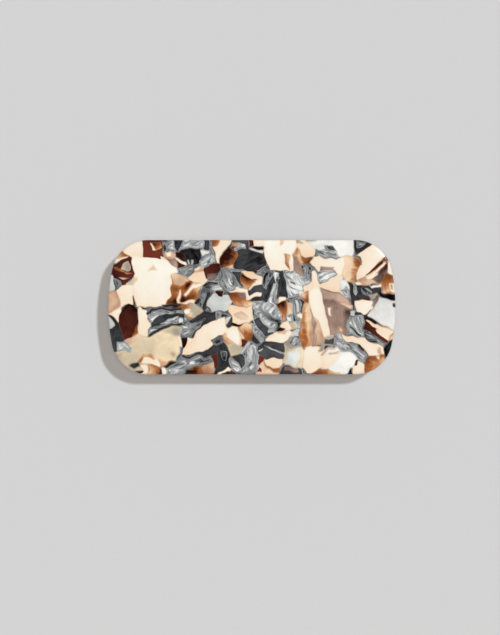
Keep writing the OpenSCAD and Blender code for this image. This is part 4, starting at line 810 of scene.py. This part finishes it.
# Shade of the pearl that fills the gaps between chips.
GAP_SHADE = 0.2


def outline_distance(x, y, outline):
    """Signed distance from each point to a closed outline, negative inside: the nearest of its sides, with
    the sign from counting the sides that a ray along +X crosses."""
    nearest = np.full(len(x), 1e9)
    inside = np.zeros(len(x), bool)
    corners = np.array(outline, float)
    for (ax, ay), (bx, by) in zip(corners, np.roll(corners, -1, 0)):
        ex, ey = bx - ax, by - ay
        share = np.clip(((x - ax) * ex + (y - ay) * ey) / (ex * ex + ey * ey), 0, 1)
        nearest = np.minimum(nearest, np.hypot(x - ax - share * ex, y - ay - share * ey))
        crosses = (ay > y) != (by > y)
        with np.errstate(divide="ignore", invalid="ignore"):
            inside ^= crosses & (x < ax + (y - ay) / ey * ex)
    return np.where(inside, -nearest, nearest)


def waves(x, y, seed, size):
    """Smooth random waves of about that size: a sum of sines in seeded directions and phases."""
    draw = np.random.default_rng(seed)
    total = np.zeros(len(x))
    for turn, phase, stretch in zip(draw.uniform(0, math.tau, 6), draw.uniform(0, math.tau, 6),
                                    draw.uniform(0.6, 1.7, 6)):
        total += np.sin((x * math.cos(turn) + y * math.sin(turn)) * math.tau / (size * stretch) + phase)
    return total / 2.5


def marble(x, y, wander):
    """Share of each kind of chip, streak direction and shade at each point, in millimetres. Each chip is
    laid over those before it: share = old share * (1 - cover) + cover, where cover rises from 0 to 1 across
    a narrow border round the chip's outline. Its shade is 0.5 + tone + gradient * way along the chip, plus
    a rim that fades inwards as exp(distance / rim width)."""
    x = x + wander * waves(x, y, 3, WANDER_SIZE)
    y = y + wander * waves(x, y, 4, WANDER_SIZE)
    shares = np.zeros((len(KINDS), len(x)))
    shares[KINDS.index("pearl")] = 1
    streak = np.zeros((2, len(x)))
    streak[0] = 1
    shade = np.full(len(x), GAP_SHADE)
    for kind, angle, tone, outline in CHIPS:
        low, high = np.min(outline, 0) - BORDER, np.max(outline, 0) + BORDER
        near = np.flatnonzero((x > low[0]) & (x < high[0]) & (y > low[1]) & (y < high[1]))
        if not len(near):
            continue
        px, py = x[near], y[near]
        distance = outline_distance(px, py, outline)
        cover = np.clip(0.5 - distance / BORDER, 0, 1)
        turn = math.radians(angle)
        middle = (low + high) / 2
        reach = max(high - low) / 2
        along = ((px - middle[0]) * math.cos(turn) + (py - middle[1]) * math.sin(turn)) / reach
        rim = np.exp(np.minimum(distance, 0) / RIM_WIDTH)
        chip_shade = 0.5 + tone + GRADIENT[kind] * along + RIM[kind] * rim
        shares[:, near] *= 1 - cover
        shares[KINDS.index(kind), near] += cover
        streak[:, near] += cover * (np.array([[math.cos(turn)], [math.sin(turn)]]) - streak[:, near])
        shade[near] += cover * (chip_shade - shade[near])
    return shares, streak, shade


def paint_marble(piece, settings):
    """Stores the marbled sheet on the plate's points. The chips slant through the sheet, and below a wavy
    level in the wall a second layer of chips shows, the same sheet turned half round."""
    co = np.zeros(len(piece.data.vertices) * 3, np.float32)
    piece.data.vertices.foreach_get("co", co)
    x, y, z = co.reshape(-1, 3).T.astype(float) / MM
    depth = PLATE_HIGH.z / MM - z
    wander = settings.chip_wander / MM
    upper = marble(x * (1 - 0.012 * depth) + 0.3 * depth, y - 0.25 * depth, wander)
    lower = marble(0.5 - x * 0.92 + 0.3 * depth, -y * 0.95, wander)
    level = LEVEL_DEPTH + LEVEL_SWING * waves(x, y, 9, LEVEL_SIZE)
    cover = np.clip(0.5 + (depth - level) / LEVEL_FADE, 0, 1)
    shares, streak, shade = (a * (1 - cover) + b * cover for a, b in zip(upper, lower))
    layers = {"chips_a": shares[0:3], "chips_b": shares[3:6], "chips_c": shares[6:9],
              "streak": np.concatenate([streak, shade[None]])}
    for name, values in layers.items():
        layer = piece.data.attributes.new(name, "FLOAT_VECTOR", "POINT")
        layer.data.foreach_set("vector", values.T.astype(np.float32).ravel())


# Materials.

def add(tree, kind, inputs=None, stops=(), **settings):
    """Adds a node with its settings, sets or links its inputs, and spreads a colour ramp's stops evenly."""
    made = tree.nodes.new(kind)
    for key, value in settings.items():
        setattr(made, key, value)
    for key, value in (inputs or {}).items():
        if isinstance(value, bpy.types.NodeSocket):
            tree.links.new(value, made.inputs[key])
        else:
            made.inputs[key].default_value = value
    for _ in stops[2:]:
        made.color_ramp.elements.new(0.5)
    for i, stop in enumerate(stops):
        made.color_ramp.elements[i].position = i / (len(stops) - 1)
        made.color_ramp.elements[i].color = (*stop, 1)
    return made


def new_material(name):
    """An empty node material, its Principled shader and its tree."""
    material = bpy.data.materials.new(name)
    material.use_nodes = True
    tree = material.node_tree
    return material, tree, tree.nodes["Principled BSDF"]


# How strongly soft clouds and drawn-out streaks shade each kind of chip.
CLOUDS = {"charcoal": 0.8, "cream": 0.5, "white": 0.8, "smoke": 0.8, "tan": 0.9, "amber": 0.9,
          "mahogany": 0.6, "plum": 0.8, "pearl": 0.5}
STREAKS = {"charcoal": 1.3, "cream": 0.08, "white": 0.35, "smoke": 0.12, "tan": 0.3, "amber": 0.6,
           "mahogany": 0.5, "plum": 0.4, "pearl": 2.3}


def acetate_material(chips, plate):
    """Block-pressed cellulose acetate, tumbled and polished. Chips of many colours with crisp borders show
    under a clear gloss: pearl chips carry drawn-out silvery streaks, amber ones glow from deep to honey."""
    material, tree, shader = new_material("polished_marbled_acetate")
    place = add(tree, "ShaderNodeTexCoord").outputs["Object"]
    streak = add(tree, "ShaderNodeAttribute", attribute_name="streak").outputs["Vector"]
    flow = add(tree, "ShaderNodeSeparateXYZ", {0: streak})
    across = add(tree, "ShaderNodeMath", {0: flow.outputs["Y"], 1: -1.0}, operation="MULTIPLY")
    along_dir = add(tree, "ShaderNodeCombineXYZ", {"X": flow.outputs["X"], "Y": flow.outputs["Y"]})
    across_dir = add(tree, "ShaderNodeCombineXYZ", {"X": across.outputs[0], "Y": flow.outputs["X"]})
    along = add(tree, "ShaderNodeVectorMath", {0: place, 1: along_dir.outputs[0]}, operation="DOT_PRODUCT")
    sideways = add(tree, "ShaderNodeVectorMath", {0: place, 1: across_dir.outputs[0]},
                   operation="DOT_PRODUCT")
    height = add(tree, "ShaderNodeSeparateXYZ", {0: place}).outputs["Z"]
    drawn = add(tree, "ShaderNodeCombineXYZ",
                {"X": along.outputs["Value"], "Y": sideways.outputs["Value"], "Z": height})
    # Streaks about 1 mm apart and 4 mm long, and clouds about 4 mm across.
    stretched = add(tree, "ShaderNodeVectorMath",
                    {0: drawn.outputs[0], 1: (1 / (4 * MM), 1 / MM, 1 / (2 * MM))}, operation="MULTIPLY")
    streaks = add(tree, "ShaderNodeTexNoise",
                  {"Vector": stretched.outputs[0], "Scale": 1.0, "Detail": 3.0, "Roughness": 0.6,
                   "Distortion": 0.9}).outputs["Fac"]
    clouds = add(tree, "ShaderNodeTexNoise",
                 {"Vector": place, "Scale": 1 / (4 * MM), "Detail": 2.0, "Roughness": 0.5,
                  "Distortion": 0.4}).outputs["Fac"]
    streak_sway = add(tree, "ShaderNodeMath", {0: streaks, 1: 0.5}, operation="SUBTRACT").outputs[0]
    cloud_sway = add(tree, "ShaderNodeMath", {0: clouds, 1: 0.5}, operation="SUBTRACT").outputs[0]
    shares = []
    for name in ("chips_a", "chips_b", "chips_c"):
        layer = add(tree, "ShaderNodeAttribute", attribute_name=name).outputs["Vector"]
        shares += list(add(tree, "ShaderNodeSeparateXYZ", {0: layer}).outputs)
    colours = {kind: [getattr(chips, f"{kind}_{end}") for end in ("deep", "middle", "pale")
                      if hasattr(chips, f"{kind}_{end}")] for kind in KINDS}
    best, paint = None, None
    for kind, share in zip(KINDS, shares):
        clouded = add(tree, "ShaderNodeMath", {0: cloud_sway, 1: CLOUDS[kind], 2: flow.outputs["Z"]},
                      operation="MULTIPLY_ADD")
        shade = add(tree, "ShaderNodeMath", {0: streak_sway, 1: STREAKS[kind], 2: clouded.outputs[0]},
                    operation="MULTIPLY_ADD")
        tint = add(tree, "ShaderNodeValToRGB", {0: shade.outputs[0]}, colours[kind]).outputs[0]
        if paint is None:
            best, paint = share, tint
            continue
        lead = add(tree, "ShaderNodeMath", {0: share, 1: best}, operation="SUBTRACT")
        step = add(tree, "ShaderNodeMapRange",
                   {"Value": lead.outputs[0], "From Min": -SOFTNESS[kind], "From Max": SOFTNESS[kind]},
                   interpolation_type="SMOOTHSTEP")
        paint = add(tree, "ShaderNodeMix", {0: step.outputs[0], 6: paint, 7: tint},
                    data_type="RGBA").outputs[2]
        best = add(tree, "ShaderNodeMath", {0: share, 1: best}, operation="MAXIMUM").outputs[0]
    tree.links.new(paint, shader.inputs["Base Color"])
    # Buffing leaves the gloss a little uneven and the face very slightly wavy.
    smear = add(tree, "ShaderNodeTexNoise", {"Vector": place, "Scale": 1 / (6 * MM), "Detail": 3.0})
    rough = add(tree, "ShaderNodeMapRange",
                {"Value": smear.outputs["Fac"], "To Min": plate.gloss_roughness * 0.6,
                 "To Max": plate.gloss_roughness * 1.5})
    tree.links.new(rough.outputs[0], shader.inputs["Roughness"])
    wavy = add(tree, "ShaderNodeTexNoise", {"Vector": place, "Scale": 1 / (5 * MM), "Detail": 1.0})
    bump = add(tree, "ShaderNodeBump",
               {"Height": wavy.outputs["Fac"], "Strength": 0.12, "Distance": 0.05 * MM})
    tree.links.new(bump.outputs[0], shader.inputs["Normal"])
    shader.inputs["IOR"].default_value = 1.48
    return material


def steel_material(name, tint, roughness, grain, edge_wear_and_highlight):
    """Stamped sheet steel with a thin bright plating. Fine rolling lines run along the grain, fingers and
    cleaning leave the gloss cloudy, and the edges are coloured brighter: partly worn plating, partly a
    painted highlight."""
    material, tree, shader = new_material(name)
    place = add(tree, "ShaderNodeTexCoord").outputs["Object"]
    # Rolling lines are finer than 0.05 mm, and are drawn 0.12 mm apart so that they show.
    fine, long = 1 / (0.12 * MM), 1 / (6 * MM)
    scale = {"X": (long, fine, fine), "Y": (fine, long, fine), "Z": (fine, fine, long)}[grain]
    stretched = add(tree, "ShaderNodeVectorMath", {0: place, 1: scale}, operation="MULTIPLY")
    lines = add(tree, "ShaderNodeTexNoise",
                {"Vector": stretched.outputs[0], "Scale": 1.0, "Detail": 2.0}).outputs["Fac"]
    clouds = add(tree, "ShaderNodeTexNoise",
                 {"Vector": place, "Scale": 1 / (3 * MM), "Detail": 4.0}).outputs["Fac"]
    rounded = add(tree, "ShaderNodeBevel", {"Radius": 0.1 * MM}, samples=4).outputs[0]
    flat = add(tree, "ShaderNodeNewGeometry").outputs["Normal"]
    facing = add(tree, "ShaderNodeVectorMath", {0: rounded, 1: flat}, operation="DOT_PRODUCT")
    # Share of the brighter edge colour where the edges turn: partly worn plating, partly a painted
    # highlight.
    worn_and_highlit_share = add(tree, "ShaderNodeMapRange",
                 {"Value": facing.outputs["Value"], "From Min": 0.98, "From Max": 0.8, "To Max": edge_wear_and_highlight})
    dulled = tuple(c * 0.78 for c in tint)
    body = add(tree, "ShaderNodeValToRGB", {0: clouds}, (dulled, tint))
    # The brighter edge colours: partly worn plating, partly a painted highlight.
    polished = tuple(c * 1.02 for c in tint), tuple(min(1, c * 1.25) for c in tint)
    bright = add(tree, "ShaderNodeValToRGB", {0: lines}, polished)
    paint = add(tree, "ShaderNodeMix", {0: worn_and_highlit_share.outputs[0], 6: body.outputs[0], 7: bright.outputs[0]},
                data_type="RGBA")
    tree.links.new(paint.outputs[2], shader.inputs["Base Color"])
    shader.inputs["Metallic"].default_value = 1
    gloss = add(tree, "ShaderNodeMath", {0: lines, 1: 0.16, 2: roughness - 0.08}, operation="MULTIPLY_ADD")
    dull = add(tree, "ShaderNodeMath", {0: clouds, 1: 0.12, 2: gloss.outputs[0]}, operation="MULTIPLY_ADD")
    tree.links.new(dull.outputs[0], shader.inputs["Roughness"])
    bump = add(tree, "ShaderNodeBump",
               {"Height": lines, "Strength": 0.25, "Distance": 0.01 * MM, "Normal": rounded})
    tree.links.new(bump.outputs[0], shader.inputs["Normal"])
    return material


def paper_material(tint):
    """Pale seamless paper: dead flat, with a faint tooth."""
    material, tree, shader = new_material("pale_studio_paper")
    place = add(tree, "ShaderNodeTexCoord").outputs["Object"]
    # Paper fibres are about 0.02 mm thick, and are drawn as a tooth of 0.6 mm so that it shows.
    tooth = add(tree, "ShaderNodeTexNoise", {"Vector": place, "Scale": 1 / (0.6 * MM), "Detail": 3.0})
    shades = tuple(c * 0.985 for c in tint), tuple(c * 1.015 for c in tint)
    paint = add(tree, "ShaderNodeValToRGB", {0: tooth.outputs["Fac"]}, shades)
    tree.links.new(paint.outputs[0], shader.inputs["Base Color"])
    shader.inputs["Roughness"].default_value = 1
    shader.inputs["Specular IOR Level"].default_value = 0
    return material


# Spring shapes.

def sheet_rings(centre, across, through, width, thickness, edge):
    """Rings of a rounded rectangle carried along a path. At each station the section spans width along
    across and thickness along through, and its corners are quarter circles of radius edge. A point beside
    each corner on the wide faces keeps them flat to the eye."""
    turns = np.linspace(0, math.pi / 2, 4)
    corners = []
    for quarter, (a_side, b_side) in enumerate(((1, 1), (-1, 1), (-1, -1), (1, -1))):
        turn = turns + quarter * math.pi / 2
        beside = -a_side * 1.5 * edge
        a_shift, b_shift = edge * np.cos(turn), edge * np.sin(turn)
        at = len(turn) if quarter % 2 == 0 else 0
        a_shift = np.insert(a_shift, at, beside)
        b_shift = np.insert(b_shift, at, b_side * edge)
        a = a_side * (width / 2 - edge)[:, None] + a_shift
        b = b_side * (thickness / 2 - edge)[:, None] + b_shift
        corner = a[..., None] * across[:, None] + b[..., None] * through[:, None]
        corners.append(centre[:, None] + corner)
    return np.concatenate(corners, 1)


def tension_strip(name, settings, material):
    """The tension bar: a strip bowed along a circular arc between its two bridges, with a flat tongue past
    each bridge. Its width narrows to the tongue over the shoulders, and the hinge end has a wide lug. For a
    bow of half span c and rise h, the arc's radius is (c*c + h*h) / (2*h)."""
    crown_z = BAR_ROOT_LOW.z + BAR_THICKNESS / 2
    end_z = BAR_ROOT_HIGH.z - BAR_THICKNESS / 2
    rise = end_z - crown_z
    radius = (BAR_HALF_SPAN ** 2 + rise ** 2) / (2 * rise)
    full_width = BAR_ROOT_HIGH.y - BAR_ROOT_LOW.y
    lug = BAR_ROOT_HIGH.x - LUG_LENGTH
    bow = np.linspace(BAR_HALF_SPAN, -BAR_HALF_SPAN, 121)
    hinge_end = np.array([BAR_ROOT_HIGH.x, lug + STEP / 2, lug - STEP / 2, TONGUE_MIDDLE])
    catch_end = np.array([-TONGUE_MIDDLE, BAR_TIP_LOW.x])
    x = np.concatenate([hinge_end, bow, catch_end])
    away = np.abs(x)
    bowed_z = crown_z + radius - np.sqrt(radius ** 2 - np.minimum(away, BAR_HALF_SPAN) ** 2)
    z = np.where(away <= BAR_HALF_SPAN, bowed_z, end_z)
    slope = np.gradient(z, x)
    slope[away > BAR_HALF_SPAN] = 0
    size = np.hypot(1, slope)
    through = np.stack([-slope / size, np.zeros(len(x)), 1 / size], -1)
    across = np.tile((0.0, -1.0, 0.0), (len(x), 1))
    width = np.interp(away, [SHOULDER, NECK], [full_width, TONGUE_WIDTH])
    width = np.where(x > lug, full_width, width)
    centre = np.stack([x, np.zeros(len(x)), z], -1)
    thickness = np.full(len(x), BAR_THICKNESS)
    rings = sheet_rings(centre, across, through, width, thickness, settings.sheet_edge)
    return lofted(name, rings, material)


def spring_head(name, settings, material):
    """The back of the catch spring: half a disc round its rivet, then a strip between the prongs' bends,
    with a notch where each bend begins. The outline is carried straight up through the sheet."""
    radius = SPRING_HIGH.y
    rivet_x = SPRING_LOW.x + radius
    neck = PRONG_OUTER - settings.bend_radius
    notch = PRONG_LOW.x - 0.15 * MM
    turn = np.linspace(math.pi / 2, 3 * math.pi / 2, 97)
    round_end = np.stack([rivet_x + radius * np.cos(turn), radius * np.sin(turn)], -1)
    lower = np.array([(notch, -radius), (notch, -neck), (SPRING_HIGH.x, -neck)])
    upper = lower[::-1] * (1, -1)
    outline = np.concatenate([round_end, lower, upper])
    levels = (SPRING_LOW.z, SPRING_HIGH.z)
    rings = np.stack([np.concatenate([outline, np.full((len(outline), 1), z)], -1) for z in levels])
    return lofted(name, rings, material, smooth=False)


def prong_leaf(name, side, settings, material):
    """One prong of the catch spring with its bend. A path runs out across the back, turns down through a
    quarter circle and goes straight down, and the sheet's section is carried along it. Its width along X
    narrows to the round tip as w = w0 - 2*(r - sqrt(r*r - d*d)), with d how far the section is below the
    start of the round. A barb thickens the sheet outwards above the tip."""
    thick = PRONG_OUTER - PRONG_LOW.y
    bend = settings.bend_radius - thick / 2
    middle_y, middle_z = PRONG_OUTER - thick / 2, SPRING_HIGH.z - thick / 2
    flat_y, bend_z = middle_y - bend, middle_z - bend
    across_back = np.linspace(flat_y - 0.5 * MM, flat_y, 4)[:-1]
    turns = np.linspace(0, math.pi / 2, 13)
    tip = TIP_RADIUS * (1 - np.sin(np.linspace(0.1, math.pi / 2 - 0.05, 9)))
    down = np.concatenate([np.linspace(bend_z, BARB_TOP + 0.3 * MM, 20)[1:],
                           [BARB_TOP + STEP, BARB_TOP, BARB_TOP - BARB_LIP], tip])
    y = np.concatenate([across_back, flat_y + bend * np.sin(turns), np.full(len(down), middle_y)])
    z = np.concatenate([np.full(len(across_back), middle_z), middle_z - bend * (1 - np.cos(turns)), down])
    turn = np.concatenate([np.zeros(len(across_back)), turns, np.full(len(down), math.pi / 2)])
    barb_levels = [BARB_START, BARB_TOP - BARB_LIP, BARB_TOP, BARB_TOP + STEP]
    stand = np.interp(z, barb_levels, [0, BARB, BARB, 0])
    below = np.clip(TIP_RADIUS - z, 0, TIP_RADIUS)
    width = PRONG_HIGH.x - PRONG_LOW.x - 2 * (TIP_RADIUS - np.sqrt(TIP_RADIUS ** 2 - below ** 2))
    through = np.stack([np.zeros(len(y)), side * np.sin(turn), np.cos(turn)], -1)
    across = np.tile((-float(side), 0.0, 0.0), (len(y), 1))
    centre = np.stack([np.full(len(y), (PRONG_LOW.x + PRONG_HIGH.x) / 2), side * y, z], -1)
    centre = centre + through * stand[:, None] / 2
    rings = sheet_rings(centre, across, through, width, thick + stand, settings.sheet_edge)
    return lofted(name, rings, material)


# Pieces.

class BARRETTE_OT_face_plate(bpy.types.Operator):
    """Make the marbled face plate"""

    bl_idname = "barrette.face_plate"
    bl_label = "Face plate"

    def execute(self, context):
        settings = context.scene.barrette
        material = acetate_material(settings.chips, settings.plate)
        piece = seamed_plate("marbled_face_plate", settings.plate, material)
        paint_marble(piece, settings.plate)
        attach(piece, "base")
        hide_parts("face_plate")
        return {"FINISHED"}


def finish_node(node_name, material):
    """Puts a material on every slot of a CAD node."""
    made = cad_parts[node_name]
    if not made.material_slots:
        made.data.materials.append(material)
    for slot in made.material_slots:
        slot.material = material


class BARRETTE_OT_clasp_finishes(bpy.types.Operator):
    """Give the stamped parts, the pin and the rivets their finishes"""

    bl_idname = "barrette.clasp_finishes"
    bl_label = "Clasp finishes"

    def execute(self, context):
        clasp = context.scene.barrette.clasp
        nickel = tuple(clasp.nickel)
        finishes = {
            "base_bar": ("nickel_plated_base_steel", nickel, 0.26, "X"),
            "clasp_arm": ("nickel_plated_arm_steel", nickel, 0.24, "X"),
            "hinge_pin": ("peened_pin_wire", tuple(c * 0.9 for c in nickel), 0.32, "Y"),
            "rivet_hinge_end": ("headed_rivet_steel", tuple(c * 0.94 for c in nickel), 0.22, "Z"),
        }
        for node_name, (name, tint, roughness, grain) in finishes.items():
            finish_node(node_name, steel_material(name, tint, roughness, grain, clasp.edge_wear_and_highlight))
        finish_node("rivet_catch_end", bpy.data.materials["headed_rivet_steel"])
        return {"FINISHED"}


class BARRETTE_OT_tension_bar(bpy.types.Operator):
    """Make the tension bar, one bowed strip"""

    bl_idname = "barrette.tension_bar"
    bl_label = "Tension bar"

    def execute(self, context):
        clasp = context.scene.barrette.clasp
        material = steel_material("hardened_tension_bar_steel", tuple(clasp.spring), 0.26, "X", clasp.edge_wear_and_highlight)
        piece = tension_strip("bowed_tension_bar", clasp, material)
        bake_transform(piece)
        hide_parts("tension_bar_root", "tension_bar_tip")
        return {"FINISHED"}


class BARRETTE_OT_catch_spring(bpy.types.Operator):
    """Make the catch spring: its riveted head and two bent prongs with barbs"""

    bl_idname = "barrette.catch_spring"
    bl_label = "Catch spring"

    def execute(self, context):
        clasp = context.scene.barrette.clasp
        material = steel_material("hardened_catch_spring_steel", tuple(clasp.spring), 0.3, "Y", clasp.edge_wear_and_highlight)
        head = spring_head("catch_spring_head", clasp, material)
        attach(head, "base")
        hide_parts("catch_spring")
        for side, end in ((-1, "front"), (1, "rear")):
            prong = prong_leaf(f"bent_catch_prong_{end}", side, clasp, material)
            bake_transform(prong)
            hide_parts(f"catch_prong_{end}")
        return {"FINISHED"}


# Studio.

FLOOR_HALF_WIDTH = 1.5
SUN_DISTANCE = 0.6
FILL_SPREAD = math.radians(14)
# How bright the room is straight above, and where between the horizon, 0, and the zenith, 1, it darkens.
ZENITH_SHARE = 0.15
DARKENS_FROM = 0.8
DARKENS_TO = 0.97
SENSOR = 36
HEIGHT_TO_WIDTH = 635 / 500


def lamp(name, kind, target, direction, distance, **settings):
    """A lamp of that kind in a direction from the target, turned to face it."""
    data = bpy.data.lights.new(name, kind)
    for key, value in settings.items():
        setattr(data, key, value)
    made = bpy.data.objects.new(name, data)
    towards = Vector(direction).normalized()
    made.location = Vector(target) + towards * distance
    made.rotation_euler = towards.to_track_quat("Z", "Y").to_euler()
    bpy.context.scene.collection.objects.link(made)
    return made


class BARRETTE_OT_studio(bpy.types.Operator):
    """Make the floor, the lights and the camera"""

    bl_idname = "barrette.studio"
    bl_label = "Studio"

    def execute(self, context):
        studio = context.scene.barrette.studio
        scene = context.scene
        corners = np.array([(-1, -1, 0), (1, -1, 0), (1, 1, 0), (-1, 1, 0)]) * FLOOR_HALF_WIDTH
        floor = surface("paper_floor", corners, [np.array([[0, 1, 2, 3]])],
                        paper_material(tuple(studio.floor_colour)))
        middle = (CAD_LOW + CAD_HIGH) / 2
        key_direction = (studio.key_reach, studio.key_drop, PLATE_HIGH.z)
        lamp("key_sun", "SUN", middle, key_direction, SUN_DISTANCE, energy=studio.key_strength,
             color=studio.key_colour, angle=studio.key_spread)
        # The fill stands for a large white panel round the camera, too soft to show in the gloss.
        fill = lamp("fill_sun", "SUN", middle, (0, 0, 1), SUN_DISTANCE, energy=studio.fill_strength,
                    color=studio.fill_colour, angle=FILL_SPREAD)
        fill.visible_glossy = False
        world = bpy.data.worlds.new("studio_light")
        world.use_nodes = True
        sky = world.node_tree.nodes["Background"]
        sky.inputs["Color"].default_value = (*studio.ambient_colour, 1)
        # The room is dark straight above, behind the camera, and light all round.
        tree = world.node_tree
        direction = add(tree, "ShaderNodeTexCoord").outputs["Generated"]
        rise = add(tree, "ShaderNodeSeparateXYZ", {0: direction}).outputs["Z"]
        strength = add(tree, "ShaderNodeMapRange",
                       {"Value": rise, "From Min": DARKENS_FROM, "From Max": DARKENS_TO,
                        "To Min": studio.ambient, "To Max": studio.ambient * ZENITH_SHARE})
        tree.links.new(strength.outputs[0], sky.inputs["Strength"])
        scene.world = world
        camera = bpy.data.cameras.new("camera")
        camera.sensor_width = SENSOR
        # The long side of the view is up and down, and the lens is measured along it.
        view_height = studio.view_width * HEIGHT_TO_WIDTH
        camera.lens = SENSOR * studio.camera_height / view_height
        camera.clip_start = 0.01
        eye = bpy.data.objects.new("camera", camera)
        eye.location = (studio.view_right, studio.view_up, PLATE_HIGH.z + studio.camera_height)
        scene.collection.objects.link(eye)
        scene.camera = eye
        scene.view_settings.view_transform = "Standard"
        return {"FINISHED"}


class BARRETTE_PT_pieces(bpy.types.Panel):
    """Sizes and colours of the barrette, and a button for each piece"""

    bl_label = "Barrette"
    bl_idname = "BARRETTE_PT_pieces"
    bl_space_type = "VIEW_3D"
    bl_region_type = "UI"
    bl_category = "Barrette"

    def draw(self, context):
        settings = context.scene.barrette
        for group in (settings.plate, settings.chips, settings.clasp, settings.studio):
            box = self.layout.box()
            for name in group.__annotations__:
                box.prop(group, name)
        for operator in OPERATORS:
            self.layout.operator(operator.bl_idname)


OPERATORS = (BARRETTE_OT_studio, BARRETTE_OT_face_plate, BARRETTE_OT_clasp_finishes,
             BARRETTE_OT_tension_bar, BARRETTE_OT_catch_spring)
CLASSES = (PlateSettings, ChipColours, ClaspSettings, StudioSettings, BarretteSettings, *OPERATORS,
           BARRETTE_PT_pieces)


def register():
    for cls in CLASSES:
        bpy.utils.register_class(cls)
    bpy.types.Scene.barrette = PointerProperty(type=BarretteSettings)


def unregister():
    del bpy.types.Scene.barrette
    for cls in reversed(CLASSES):
        bpy.utils.unregister_class(cls)


def main():
    """Makes every piece in order."""
    register()
    bpy.ops.barrette.studio()
    bpy.ops.barrette.face_plate()
    bpy.ops.barrette.clasp_finishes()
    bpy.ops.barrette.tension_bar()
    bpy.ops.barrette.catch_spring()


if __name__ == "__main__":
    main()
